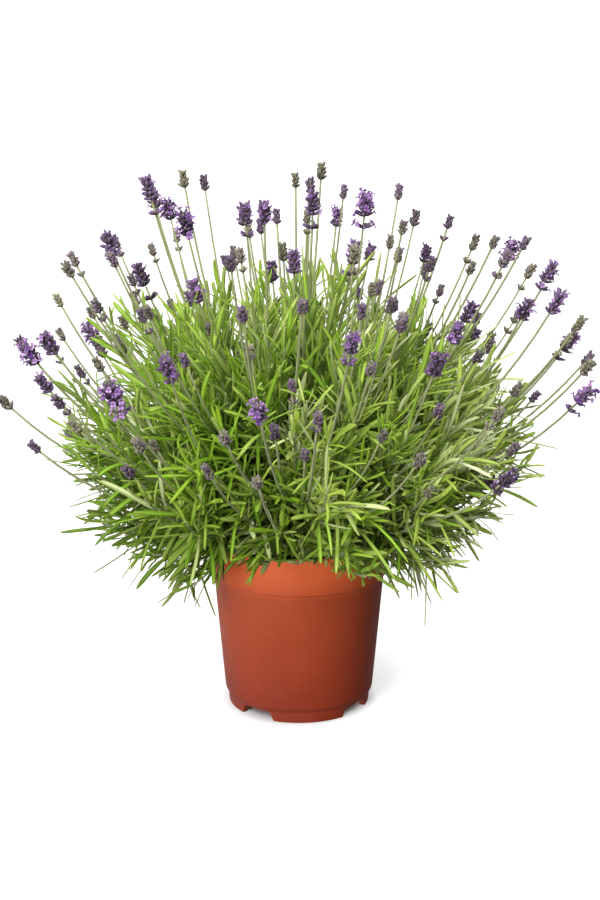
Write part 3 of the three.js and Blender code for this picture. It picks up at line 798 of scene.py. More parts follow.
def pot():
    """The pot: its outline carried round the axis, with the foot ring's lower edge raised at the notches. The
    inside's corners lie a little higher or lower than the outside's, which keeps the wall even."""
    corners = [
        (0, FLOOR_BOTTOM),
        (FOOT_INNER_RADIUS, FLOOR_BOTTOM),
        (FOOT_INNER_RADIUS, 0),
        (FOOT_RADIUS, 0),
        (FOOT_TOP_RADIUS, STEP_BOTTOM),
        (BODY_BOTTOM_RADIUS, STEP_TOP),
        (BODY_TOP_RADIUS, BAND_BOTTOM),
        (BAND_BOTTOM_RADIUS, BAND_BOTTOM + BAND_SLOPE),
        (RIM_RADIUS, POT_HEIGHT),
        (RIM_RADIUS - WALL, POT_HEIGHT),
        (BAND_BOTTOM_RADIUS - WALL, BAND_BOTTOM + 3),
        (BODY_TOP_RADIUS - WALL, BAND_BOTTOM - 2),
        (BODY_BOTTOM_RADIUS - WALL, STEP_TOP + 1),
        (FOOT_TOP_RADIUS - WALL, FLOOR_BOTTOM + WALL),
        (0, FLOOR_BOTTOM + WALL),
    ]
    outline = rounded(corners, POT_ROUNDINGS)
    gap = 360 / NOTCHES
    flare = np.degrees(np.array([NOTCH_TOP_HALF, NOTCH_GROUND_HALF]) / FOOT_RADIUS)
    ends = [0, *flare, gap / 2]
    parts = zip(ends, ends[1:], NOTCH_STEPS)
    marks = np.concatenate([np.linspace(low, high, steps, endpoint=False) for low, high, steps in parts])
    marks = np.unique(np.round(np.concatenate([marks, gap - marks[::-1][:-1], [gap / 2]]), 6))
    azimuth = (FIRST_NOTCH + marks + gap * np.arange(NOTCHES)[:, None]).ravel()
    radius, height = outline[1:-1, 0, None], outline[1:-1, 1, None]
    level = FLOOR_BOTTOM - NOTCH_LEVEL
    raised = lerp(foot_height(azimuth), level, np.clip(height / level, 0, 1))
    rings = spun(radius, np.where(height < level, raised, height), np.radians(azimuth))
    ends = [np.array([[0.0, 0.0, outline[i, 1]]]) for i in (0, -1)]
    made = piece("nursery_pot", [pods(rings[None], *ends)], [plastic_finish()], ["pot"], POT_SHARP)
    drill(made)


def drill(pot_piece):
    """Cuts the round drain holes through the pot's floor."""
    turns = 2 * math.pi * np.arange(DRAIN_POINTS) / DRAIN_POINTS
    centres = direction(90, 360 / DRAIN_HOLES * np.arange(DRAIN_HOLES)) * DRAIN_RING_RADIUS
    ring = np.stack([np.cos(turns), np.sin(turns), 0 * turns], -1) * DRAIN_RADIUS
    levels = np.array([FLOOR_BOTTOM - DRILL_PAST, FLOOR_BOTTOM + WALL + DRILL_PAST])[:, None] * UP
    rings = centres[:, None, None] + levels[:, None] + ring
    plugs = pods(rings, centres + levels[0], centres + levels[1])
    mesh = bpy.data.meshes.new("drain_plugs")
    mesh.from_pydata((plugs["points"] * MM).tolist(), [], plugs["quads"].tolist() + plugs["tris"].tolist())
    cutter = put("drain_plugs", mesh)
    cut = pot_piece.modifiers.new("drain_holes", "BOOLEAN")
    cut.operation, cut.object, cut.solver = "DIFFERENCE", cutter, "EXACT"
    graph = bpy.context.evaluated_depsgraph_get()
    drilled = bpy.data.meshes.new_from_object(pot_piece.evaluated_get(graph))
    pot_piece.modifiers.remove(cut)
    pot_piece.data = drilled
    bpy.data.objects.remove(cutter)


def waves(points, rng, reach, count=24):
    """A rough field over points: a sum of plane waves of random ways and lengths, nought in the mean."""
    ways = unit(rng.normal(size=(count, 3)))
    pitch = reach * rng.uniform(0.35, 1.6, count)
    phase = rng.uniform(0, 2 * math.pi, count)
    return np.sin(points @ ways.T * (2 * math.pi / pitch) + phase).mean(-1) * math.sqrt(count / 2)


def soil():
    """The soil: the space inside the pot, with a crumbly top that rises to the middle by a parabola, and loose
    crumbs on it, which are short tubes of three rings."""
    rng = np.random.default_rng(SEED)
    inside = WALL + FIT_GAP
    low = np.array(
        [
            (FOOT_TOP_RADIUS - inside - FIT_GAP, FLOOR_BOTTOM + inside),
            (BODY_TOP_RADIUS - inside, BAND_BOTTOM - 2),
            (BAND_BOTTOM_RADIUS - inside, SOIL_EDGE),
        ]
    )
    edge = low[-1, 0]
    reach = np.linspace(edge - SOIL_FIRST_STEP, SOIL_LAST_RADIUS, SOIL_RINGS)
    top = np.stack([reach, lerp(SOIL_EDGE, SOIL_TOP, 1 - (reach / reach[0]) ** 2)], -1)
    outline = np.concatenate([low, top])
    rings = spun(outline[:, :1], outline[:, 1:], 2 * math.pi * np.arange(SOIL_POINTS) / SOIL_POINTS)
    surface = rings[len(low):]
    surface[..., 2] += sum(waves(surface, rng, pitch) * height for pitch, height in SOIL_WAVES)
    bed = pods(rings[None], np.array([[0, 0, low[0, 1]]]), np.array([[0, 0, SOIL_TOP]]), tone=0.0)
    spot = edge * CRUMBS_WITHIN * np.sqrt(rng.uniform(0, 1, CRUMBS))
    centre = direction(90, rng.uniform(0, 360, CRUMBS)) * spot[:, None]
    centre[:, 2] = lerp(SOIL_EDGE, SOIL_TOP, 1 - (spot / edge) ** 2) + CRUMB_RISE
    way = unit(rng.normal(size=(CRUMBS, 3)) * [1, 1, 0.3])
    size = rng.uniform(*CRUMB_SIZES, CRUMBS) * (1 + (rng.uniform(0, 1, CRUMBS) > BIG_CRUMBS_OVER))
    stretch = rng.uniform(*CRUMB_STRETCHES, CRUMBS)
    marks = np.array([-0.62, 0.0, 0.62])
    paths = centre[:, None] + way[:, None] * (marks[:, None] * size[:, None, None] * stretch[:, None, None])
    radii = size[:, None] * np.array(CRUMB_RADII) * rng.uniform(0.6, 1.1, (CRUMBS, 3))
    side = square(rng.normal(size=(CRUMBS, 3)), way)
    ways = np.broadcast_to(way[:, None], paths.shape)
    crumbs = tubes(paths, ways, side, radii, 6, tone=rng.uniform(0, 1, CRUMBS) ** 2)
    piece("potting_soil", [bed, crumbs], [soil_finish()], ["soil"])


# ---------------------------------------------------------------- the plant's lines


def main_stems():
    """Per stem: the root, the unit heading, the side and the cubic curve above the soil."""
    stems = []
    for count, root_radius, polar, turn in STEM_RINGS:
        for i in range(count):
            azimuth = turn + 360 * i / count
            root = direction(90, azimuth) * root_radius + UP * HOLE_BOTTOM
            ground = np.array([root[0], root[1], SOIL_TOP + WOOD_STRAIGHT])
            heading = direction(polar, azimuth)
            tip = CROWN + heading * WOOD_REACH
            lift = np.linalg.norm(tip - ground) / 3
            curve = np.array([ground, ground + UP * lift, tip - heading * lift, tip])
            stems.append({"root": root, "heading": heading, "side": direction(90, azimuth + 90), "curve": curve})
    return stems


def nearest_stem(stems, way):
    """The number of the main stem that heads most nearly a way."""
    return int(np.argmax([float(stem["heading"] @ way) for stem in stems]))


def shoot_curve(base, tip, leave_lean, end_lean):
    """A shoot from its place on a main stem to its tip: it turns from the one lean to the other on its way."""
    span = tip - base
    length = np.linalg.norm(span)
    polar = angle_up(span)
    azimuth = math.degrees(math.atan2(span[1], span[0]))
    leave = direction(min(LOWEST_LEAN, polar * leave_lean), azimuth)
    end = direction(polar * end_lean, azimuth)
    return np.array([base, base + leave * HANDLE * length, tip - end * HANDLE * length, tip])


def dome_fall(polar):
    """How far a dome of tips falls in: nought to the shoulder, then DOME_FALL times the squared lean past it."""
    return DOME_FALL * max(0, polar - DOME_SHOULDER) ** 2


def flower_stalks():
    """The flower stalks: tips spread evenly over the dome, each one shortened by its own draw. Two heads of five are
    open."""
    stalks = []
    for k in range(STALKS):
        draw = dice(SEED * 1000 + k)
        polar = abs(even_polar((k + 0.5) / STALKS, WIDEST_POLAR) + draw(-1, 1) * STALK_JITTER)
        breadth = math.sin(math.radians(max(polar, STEEPEST_JITTER)))
        azimuth = k * GOLDEN_ANGLE + draw(-1, 1) * STALK_JITTER / breadth
        reach = (DOME_REACH - dome_fall(polar)) * (1 - SHORTEST_SHARE * draw(0, 1) ** 2)
        stalks.append(
            {
                "tip": CROWN + direction(polar, azimuth) * reach,
                "side": direction(90, azimuth + 90),
                "size": draw(*STALK_SIZES),
                "open": k % 5 in (0, 2),
                "leans": (LEAVE_LEAN, END_LEAN),
            }
        )
    return stalks


def side_shoots():
    """The side shoots: tips spread evenly round the rim, the low ones closer in and drooping."""
    shoots = []
    for k in range(SIDE_SHOOTS):
        draw = dice(SEED * 2000 + k)
        azimuth = k * GOLDEN_ANGLE + SIDE_TURN + draw(-1, 1) * SIDE_JITTER / 2
        rise = SIDE_RISE * ((k + 0.5) / SIDE_SHOOTS)
        tip = direction(90, azimuth) * (SIDE_REACH + rise / 2 + draw(-1, 1) * SIDE_JITTER)
        tip[2] = CROWN[2] + rise
        leans = (SIDE_LEAVE_LEAN, lerp(LOW_END_LEAN, 1, k / SIDE_SHOOTS))
        shoots.append({"tip": tip, "side": direction(90, azimuth + 90), "leans": leans})
    return shoots


def branch(shoots, stems):
    """Gives each shoot its main stem and its curve. Along a stem, the shoots that lean out most start lowest."""
    for shoot in shoots:
        way = unit(shoot["tip"] - CROWN)
        shoot["owner"] = nearest_stem(stems, way)
        shoot["lean"] = angle_up(way)
    for i, stem in enumerate(stems):
        own = sorted([shoot for shoot in shoots if shoot["owner"] == i], key=lambda shoot: -shoot["lean"])
        for rank, shoot in enumerate(own):
            t = lerp(LOWEST_FORK, HIGHEST_FORK, rank / max(len(own) - 1, 1))
            shoot["curve"] = shoot_curve(curve_points(stem["curve"], t), shoot["tip"], *shoot["leans"])


def late_stalks(stems, rng):
    """The late stalks: tips spread evenly between the others, under the dome of the flowers, with closed heads."""
    stalks = []
    for k in range(LATE_STALKS):
        polar = abs(even_polar((k + 0.5) / LATE_STALKS, LATE_WIDEST) + rng.uniform(-LATE_JITTER, LATE_JITTER))
        azimuth = k * GOLDEN_ANGLE + LATE_TURN + rng.uniform(-LATE_TURN_JITTER, LATE_TURN_JITTER)
        reach = LATE_REACH - dome_fall(polar)
        tip = CROWN + direction(polar, azimuth) * reach * (1 - LATE_SHORTEST * rng.uniform())
        owner = nearest_stem(stems, unit(tip - CROWN))
        fork = lerp(HIGHEST_FORK, LOWEST_FORK, min(polar / LATE_WIDEST, 1))
        curve = shoot_curve(curve_points(stems[owner]["curve"], fork), tip, LEAVE_LEAN, END_LEAN)
        size = rng.uniform(*LATE_SIZES)
        side = direction(90, azimuth + 90)
        stalks.append({"tip": tip, "side": side, "size": size, "open": False, "owner": owner, "curve": curve})
    return stalks


def fill_shoots(stems, rng):
    """The leafy shoots between: tips spread evenly over the leafy dome and over the rim, the lowest ones hanging."""
    shoots = []
    for k in range(FILL_SHOOTS):
        polar = even_polar((k + 0.5) / FILL_SHOOTS, FILL_WIDEST) + rng.uniform(-FILL_JITTER, FILL_JITTER)
        azimuth = k * GOLDEN_ANGLE + FILL_TURN + rng.uniform(-FILL_TURN_JITTER, FILL_TURN_JITTER)
        low = np.clip((polar - FILL_LOW_FROM) / (FILL_WIDEST - FILL_LOW_FROM), 0, 1)
        front = abs((azimuth + 90 + 180) % 360 - 180)
        if polar > FILL_HANG_FROM and front < FILL_FRONT and k % 2:
            continue
        short = rng.uniform(0, 1) ** FILL_SHORT_FEWER * (1 - FILL_SHORTEST)
        reach = np.interp(polar, FILL_LEANS, FILL_REACHES) * (FILL_LONGEST - short)
        level = math.sin(math.radians(min(2 * polar, 180)))
        reach *= 1 - FILL_LEFT_MORE * math.cos(math.radians(azimuth)) * level
        leans = (lerp(*FILL_LEAVE_LEANS, low), lerp(*FILL_END_LEANS, low**FILL_END_LATER))
        fork = lerp(*FILL_FORKS, low) - rng.uniform(0, FILL_FORK_JITTER)
        tip = CROWN + direction(polar, azimuth) * reach
        if below_sight(tip[None])[0]:
            continue
        owner = nearest_stem(stems, unit(tip - CROWN))
        curve = shoot_curve(curve_points(stems[owner]["curve"], fork), tip, *leans)
        if not clear_of_pot(curve_points(curve, np.linspace(0, 1, 81)[None]))[0]:
            continue
        side, splay = direction(90, azimuth + 90), np.interp(polar, SPLAY_LEANS, SPLAYS)
        shoots.append({"tip": tip, "side": side, "owner": owner, "curve": curve, "splay": splay})
    return shoots


def below_sight(points, hang=0.0):
    """Whether points in front of the pot lie so far below the sight line over its rim that they would hide the pot.
    Hang lets them lie lower."""
    ahead = -RIM_RADIUS - points[..., 1]
    line = POT_HEIGHT - SIGHT_BELOW_RIM + SIGHT_SLOPE * ahead
    nearer = 1 - ahead / SIGHT_LENGTH
    drop = np.interp(np.abs(points[..., 0]) / nearer, SIGHT_ASIDE, SIGHT_DROP)
    return (ahead > 0) & (points[..., 2] < line - drop - hang)


def clear_of_pot(points):
    """Whether all points of each shape (shapes, points, 3) are over the soil, over the rim or outside the pot."""
    radius = np.hypot(points[..., 0], points[..., 1])
    height = points[..., 2]
    inside = (radius < RIM_RADIUS - WALL - CLEAR_INSIDE) & (height > SOIL_TOP + CLEAR_SOIL)
    return (inside | (height > POT_HEIGHT + CLEAR_OVER) | (radius > RIM_RADIUS + CLEAR_OUTSIDE)).all(-1)


# ---------------------------------------------------------------- leaves


def leaf_marks(length, leafy, near, far):
    """Distances from a shoot's tip to its leaf pairs: the gaps grow from near to far."""
    marks, at = [], near * FIRST_LEAF
    while at < min(leafy, length - LEAFLESS_FOOT):
        marks.append(at)
        at += lerp(near, far, min(1.0, at / GAP_REACH))
    return np.array(marks)


def leaf_places(shoots, lengths, shares, rng, gaps, tufts):
    """Per leaf: its shoot, its share of the way up it, its turn round it, how far it has grown, which nears one by an
    exponential down the shoot, and one for a small leaf of a tuft. Leaves are in opposite pairs, every pair turned a
    quarter, with small leaves in the axils further down."""
    rows = []
    for i, length in enumerate(lengths):
        marks = leaf_marks(length, length * shares[i], *gaps)
        if not len(marks):
            continue
        marks = marks + rng.uniform(-GAP_JITTER, GAP_JITTER, len(marks)) * gaps[0]
        start = shoots[i].get("bare", 0.0)
        grown = 1 - np.exp(-(marks + GROWN_START) / GROWN_REACH)
        turn = 90 * np.arange(len(marks)) + rng.uniform(0, 360)
        deep = marks > TUFTS_BELOW
        for side in (0, 180):
            turns = turn + side + rng.uniform(-PAIR_JITTER, PAIR_JITTER, len(marks))
            t = 1 - (marks + start) / length
            rows.append((np.full(len(t), i), t, turns, grown, np.zeros(len(t))))
            for each in range(tufts):
                aside = rng.uniform(*TUFT_TURNS, deep.sum()) * (1 if each % 2 else -1)
                t = 1 - (marks[deep] + start - TUFT_RISE) / length
                rows.append((np.full(len(t), i), t, (turn + side)[deep] + aside, grown[deep], np.ones(len(t))))
    shoot, t, turn, grown, small = (np.concatenate(column) for column in zip(*rows))
    keep = (t > 0.02) & (t < 1)
    return [values[keep] for values in (shoot, t, turn, grown, small)]


def painted_leaf_shade(place):
    """Painted shade round a leaf: by how near the crown it is, or how far below a level that falls to the right."""
    from_crown = np.linalg.norm(place - CROWN + UP * DEEP_SINK, axis=-1)
    low = np.clip((LOW_LEVEL - place[:, 2] - place[:, 0] * LOW_TILT) / LOW_FADE, 0, LOW_MOST)
    return np.clip(np.maximum(DEEP_MOST - from_crown / DEEP_REACH, low), 0, 1)


def leafy(shoots, shares, rng, gaps, tufts, size, leans, hang=0.0):
    """The leaves of some shoots. Each one leaves its shoot at a lean that grows down the shoot, faces the tip and the
    sky, and bends by its droop, its bend back and a stray part."""
    curves = np.array([shoot["curve"] for shoot in shoots])
    shoot, t, turn, grown, small = leaf_places(shoots, curve_lengths(curves), shares, rng, gaps, tufts)
    count = len(shoot)
    place, axis = curve_points(curves[shoot], t), curve_ways(curves[shoot], t)
    side, splay, owner = (
        np.array([each.get(name, 1.0) for each in shoots])[shoot] for name in ("side", "splay", "owner")
    )
    side = square(side, axis)
    aside = round_way(side, np.cross(axis, side), np.radians(turn)[:, None])
    angle = lerp(leans[0], leans[1] * splay, grown) * lerp(1.0, TUFT_LEAN, small)
    angle = np.radians(angle + rng.uniform(-LEAN_JITTER, LEAN_JITTER, count))[:, None]
    way = axis * np.cos(angle) + aside * np.sin(angle)
    face = axis * np.sin(angle) - aside * np.cos(angle) + UP * FACE_UP + rng.normal(size=(count, 3)) * FACE_JITTER
    length = LEAF_LENGTH * size * lerp(*LEAF_GROWTH, grown) * rng.uniform(*LEAF_LENGTHS, count)
    length = np.minimum(length * np.where(small > 0, rng.uniform(*TUFT_LENGTHS, count), 1), LONGEST_LEAF)
    width = LEAF_WIDTH * lerp(*WIDTH_GROWTH, grown) * rng.uniform(*LEAF_WIDTHS, count) * lerp(1.0, TUFT_WIDTH, small)
    droop = rng.uniform(*DROOPS, count) * lerp(*DROOP_GROWTH, grown) * lerp(1.0, TUFT_DROOP, small)
    back = rng.uniform(*BACK_BENDS, count)[:, None]
    bend = -UP * droop[:, None] + aside * back * BACK_BEND + rng.normal(size=(count, 3)) * BEND_JITTER
    twist = rng.normal(0, TWIST_SPREAD, count)
    young = np.clip(1 - grown * YOUNG_FADE, 0, 1) * rng.uniform(*YOUNG_SHARES, count)
    tone = rng.normal(*SHOOT_TONE, len(shoots))[shoot] + rng.normal(0, LEAF_TONE_SPREAD, count)
    # Painted light: the tone rises towards the right, so leaves there are paler
    tone = np.clip(tone + RIGHT_PAINTED_LIGHT * place[:, 0] / RIGHT_REACH, 0, 1)
    # The painted shade for each leaf is carried as a mark for the leaf finish
    marks = {"tone": tone, "young": young, "depth": painted_leaf_shade(place), "owner": owner}
    return blades(place + aside * LEAF_SEAT, way, face, length, width, bend, twist, marks, hang)


def blades(root, way, face, length, width, bend, twist, marks, hang):
    """Narrow leaves. The midline is root + length * (way * t + bend * t * t / 2). Across it, a blade has rolled
    edges, a groove over the midrib and a rib below, and its width swells from a slim foot to past the middle, then
    rounds off. Leaves that would cut the pot or hide it are left out."""
    steps = np.array([0.02, 0.15, 0.38, 0.64, 0.85, 0.96])
    swell = np.array([0.36, 0.62, 0.92, 1.0, 0.88, 0.5])
    section = np.array([(1, -0.15), (0.52, 0.5), (0, 0.12), (-0.52, 0.5), (-1, -0.15), (0, -0.62)])
    underside = np.array([0.3, 0, 0, 0, 0.3, 1.0])

    def midline(t):
        """The midline's points at shares t."""
        return root[:, None] + length[:, None, None] * (way[:, None] * t + bend[:, None] * t * t / 2)

    t = steps[:, None]
    forward = unit(way[:, None] + bend[:, None] * t)
    normal = square(face[:, None] + np.cross(way, face)[:, None] * (twist[:, None, None] * t), forward)
    half = width[:, None] / 2 * swell
    thick = np.minimum(LEAF_THICKNESS, width * THICKNESS_OF_WIDTH)[:, None] * lerp(THICKNESS_AT_END, 1, swell)
    across = np.cross(normal, forward)[:, :, None] * (half[..., None] * section[:, 0])[..., None]
    through = normal[:, :, None] * (thick[..., None] * section[:, 1])[..., None]
    rings = midline(t)[:, :, None] + across + through
    tip = root + length[:, None] * (way + bend / 2)
    shape = rings.shape[:3]
    made = {
        "rings": rings,
        "first": root,
        "last": tip,
        "along": np.broadcast_to(t, shape),
        "across": np.broadcast_to(section[:, 0], shape),
        "under": np.broadcast_to(underside, shape),
        **marks,
    }
    points = np.concatenate([rings.reshape(len(root), -1, 3), tip[:, None]], 1)
    fine = midline(np.linspace(0, 1, 33)[:, None])
    keep = clear_of_pot(points) & clear_of_pot(fine) & ~below_sight(points, hang).any(-1)
    return {name: values[keep] for name, values in made.items()}


# ---------------------------------------------------------------- flower heads


def head_forms(stalks, rng):
    """What each head is like: its whorls' heights, its cups, how violet it is and how many flowers are open."""
    forms = []
    for stalk in stalks:
        kind, size = OPEN_HEAD if stalk["open"] else CLOSED_HEAD, stalk["size"]
        length, cup, whorls = kind["length"] * size, kind["cup"] * size, kind["whorls"]
        levels = (np.arange(whorls) + 0.25) * (length - cup * 0.75) / (whorls + 0.4)
        form = {"length": length, "cup": cup, "cups": kind["cups"], "lean": kind["lean"]}
        form["violet"] = rng.uniform(*kind["violet"])
        form["tone"] = rng.uniform(*kind["tone"])
        form["open_share"] = rng.choice(OPEN_SHARES, p=OPEN_ODDS) if stalk["open"] else 0.0
        if rng.uniform() < kind["low_whorl"]:
            levels = np.concatenate([[-rng.uniform(*LOW_WHORL_DROPS) * size], levels])
        forms.append({"levels": levels, **form})
    return forms


def calyces(base, axis, side, heads, rng):
    """Ribbed cups in whorls round each head's axis. A cup is a ring carried out along its own way, slim at the foot,
    widest past the middle and drawn in to a mouth, where the last point sits back inside."""
    rows = []
    for i, head in enumerate(heads):
        first = square(side[i], axis[i])
        second = np.cross(axis[i], first)
        for level, at in enumerate(head["levels"]):
            share = np.clip(at / head["length"], 0, 1)
            count = head["cups"] - (1 if share > TOP_CUPS_FROM else 0)
            turn = 360 / count * (np.arange(count) + 0.5 * (level % 2))
            turn = turn + rng.uniform(-CUP_TURN_JITTER, CUP_TURN_JITTER, count)
            aside = round_way(first, second, np.radians(turn)[:, None])
            lean = lerp(*head["lean"], share) + rng.uniform(-CUP_LEAN_JITTER, CUP_LEAN_JITTER, count)
            lean = np.radians(lean)[:, None]
            top = TOP_CUP_LENGTH if share >= TOP_CUPS_SHORT_FROM else 1
            rows.append(
                (
                    base[i] + axis[i] * at + aside * 0.5,
                    axis[i] * np.cos(lean) + aside * np.sin(lean),
                    np.broadcast_to(axis[i], (count, 3)),
                    head["cup"] * rng.uniform(*CUP_LENGTHS, count) * top,
                    head["cup"] * rng.uniform(*CUP_RADII, count),
                    np.clip(rng.normal(head["tone"], CUP_TONE_SPREAD, count), 0, 1),
                    np.clip(rng.normal(head["violet"], CUP_VIOLET_SPREAD, count), 0, 1),
                    np.full(count, i),
                )
            )
    foot, way, along, length, radius, tone, violet, owner = (np.concatenate(column) for column in zip(*rows))
    marks, swell, points = np.array([0.04, 0.3, 0.68, 1.0]), np.array([0.45, 0.92, 1.0, 0.8]), 6
    made = cones(foot, way, sides_of(way, along), marks, swell, length, radius, points, CUP_MOUTH_DEPTH)
    shape = made["rings"].shape[:3]
    return {
        **made,
        "first": foot,
        "tone": tone,
        "violet": violet,
        "along": np.broadcast_to(marks[:, None], shape),
        "across": np.broadcast_to(np.arange(points) / points, shape),
        "owner": owner,
        "mouth": foot + way * length[:, None],
        "way": way,
        "radius": radius,
    }


def petals(mouth, way, owner, size, tone, rng):
    """Open flowers: a short tube and five lobes, two large ones above and three below. A lobe is a thin pod of two
    rings, which leaves the tube's mouth and spreads back from the cup's way."""
    shape = (len(mouth), len(LOBE_TURNS))
    sides = sides_of(way)
    aside = round_way(sides[0][:, None], sides[1][:, None], np.radians(LOBE_TURNS)[:, None])
    spread = np.radians(rng.uniform(*LOBE_SPREADS, shape))[..., None]
    out = way[:, None] * np.cos(spread) + aside * np.sin(spread)
    face = way[:, None] * np.sin(spread) - aside * np.cos(spread)
    reach = size[:, None] * np.array(LOBE_SIZES) * rng.uniform(*LOBE_SIZE_DRAWS, shape)
    root = (mouth + way * (size * 0.5)[:, None])[:, None] + aside * 0.35
    root, out, face = (values.reshape(-1, 3) for values in (root, out, face))
    marks = np.array([0.3, 0.78])
    lobes = {
        **thin_scales(root, out, face, reach.ravel(), marks, (0.38, 0.46), LOBE_THICKNESS),
        "tone": np.repeat(tone, shape[1]),
        "along": np.broadcast_to(marks, (len(root), 2)),
        "owner": np.repeat(owner, shape[1]),
    }
    throats = {
        **cones(mouth, way, sides, (-0.25, 0.6), (0.16, 0.26), size, size, 5, 0.35),
        "tone": tone,
        "along": np.full((len(mouth), 2), 0.15),
        "owner": owner,
    }
    return lobes, throats


def knobs(mouth, way, owner, radius, tone):
    """Closed flower buds that peep out of the cups: short round-nosed pods."""
    return {
        **cones(mouth, way, sides_of(way), (-0.3, 0.35, 0.9), (0.6, 0.72, 0.5), radius, radius, 5, 1.25),
        "tone": tone,
        "along": np.broadcast_to([0.2, 0.5, 0.8], (len(mouth), 3)),
        "owner": owner,
    }


def bracts(base, axis, side, heads, rng):
    """Pairs of broad papery scales under each whorl: thin pods of two rings, pointed at both ends."""
    rows = []
    lean = math.radians(BRACT_LEAN)
    for i, head in enumerate(heads):
        first = square(side[i], axis[i])
        second = np.cross(axis[i], first)
        for level, at in enumerate(head["levels"]):
            turn = 90 * level + np.array([0, 180]) + rng.uniform(-BRACT_JITTER, BRACT_JITTER)
            aside = round_way(first, second, np.radians(turn)[:, None])
            rows.append(
                (
                    base[i] + axis[i] * (at - 0.7) + aside * 0.6,
                    axis[i] * math.cos(lean) + aside * math.sin(lean),
                    axis[i] * math.sin(lean) - aside * math.cos(lean),
                    np.full(2, head["cup"] * rng.uniform(*BRACT_SIZES)),
                    np.full(2, i),
                )
            )
    root, out, face, size, owner = (np.concatenate(column) for column in zip(*rows))
    made = thin_scales(root, out, face, size, (0.3, 0.65), (0.42, 0.3), BRACT_THICKNESS)
    return {**made, "tone": rng.uniform(0, 1, len(root)), "owner": owner}


def flower_heads(stalks, rng):
    """Every head's parts, each owned by the number of its stalk: cups over bracts, on open heads with flowers in some
    cups and buds in others, and what the stalk inside needs."""
    curves = np.array([stalk["curve"] for stalk in stalks])
    axis = curve_ways(curves, np.ones(len(stalks)))
    side = np.array([stalk["side"] for stalk in stalks])
    forms = head_forms(stalks, rng)
    is_open = np.array([stalk["open"] for stalk in stalks])
    base = curves[:, 3] + axis * np.where(is_open, SEAT_GAP, 0)[:, None]
    cups = calyces(base, axis, side, forms, rng)
    open_share = np.array([form["open_share"] for form in forms])[cups["owner"]]
    draws = rng.uniform(0, 1, len(open_share))
    blooming = draws < open_share
    budding = ~blooming & (draws < open_share + BUD_SHARE * is_open[cups["owner"]])
    size = np.where(open_share[blooming] > WIDE_OPEN_OVER, FLOWER_SIZES[1], FLOWER_SIZES[0])
    size = size * rng.uniform(*FLOWER_SIZE_DRAWS, blooming.sum())
    tone = np.clip(rng.normal(*FLOWER_TONE, blooming.sum()), 0, 1)
    lobes, throats = petals(*(cups[name][blooming] for name in ("mouth", "way", "owner")), size, tone, rng)
    seats = [cups[name][budding] for name in ("mouth", "way", "owner", "radius")]
    closed = knobs(*seats, rng.uniform(*BUD_TONES, budding.sum()))
    scales = bracts(base, axis, side, forms, rng)
    cores = np.array([form["levels"][-1] + 0.6 * form["cup"] for form in forms])
    parts = ((cups, 0), (scales, 1), (lobes, 3), (throats, 3), (closed, 3))
    return {"parts": parts, "lines": (base, axis, side, cores)}


def pick(made, keep, finish):
    """The pods of some owners, as a set for a piece."""
    chosen = np.isin(made["owner"], keep)
    names = ("tone", "young", "depth", "along", "across", "under", "violet")
    marks = {name: made[name][chosen] for name in names if name in made}
    return pods(made["rings"][chosen], made["first"][chosen], made["last"][chosen], finish, **marks)


def head_sets(heads, keep):
    """The parts of some heads, and the stalk inside each: a slim tube from just over its foot to its last whorl."""
    base, axis, side, ends = (values[keep] for values in heads["lines"])
    at = lerp(0.1, ends[:, None], np.linspace(0, 1, 4))
    paths = base[:, None] + axis[:, None] * at[..., None]
    ways = np.broadcast_to(axis[:, None], paths.shape)
    radii = np.broadcast_to([0.8, 0.9, 0.8, 0.5], at.shape)
    core = tubes(paths, ways, side, radii, 6, finish=2, tone=0.4, along=0.8, wood=0.0)
    cups, scales, *flowers = (pick(made, keep, finish) for made, finish in heads["parts"])
    return [cups, scales, core, *flowers]


# ---------------------------------------------------------------- the scene


def camera():
    """The camera, tilted down a little towards the plant."""
    lens = bpy.data.cameras.new("camera")
    lens.lens, lens.sensor_width = CAMERA_LENS, CAMERA_SENSOR
    made = put("camera", lens)
    made.location = CAMERA_PLACE
    made.rotation_euler = (math.radians(CAMERA_TILT), 0, 0)
    bpy.context.scene.camera = made


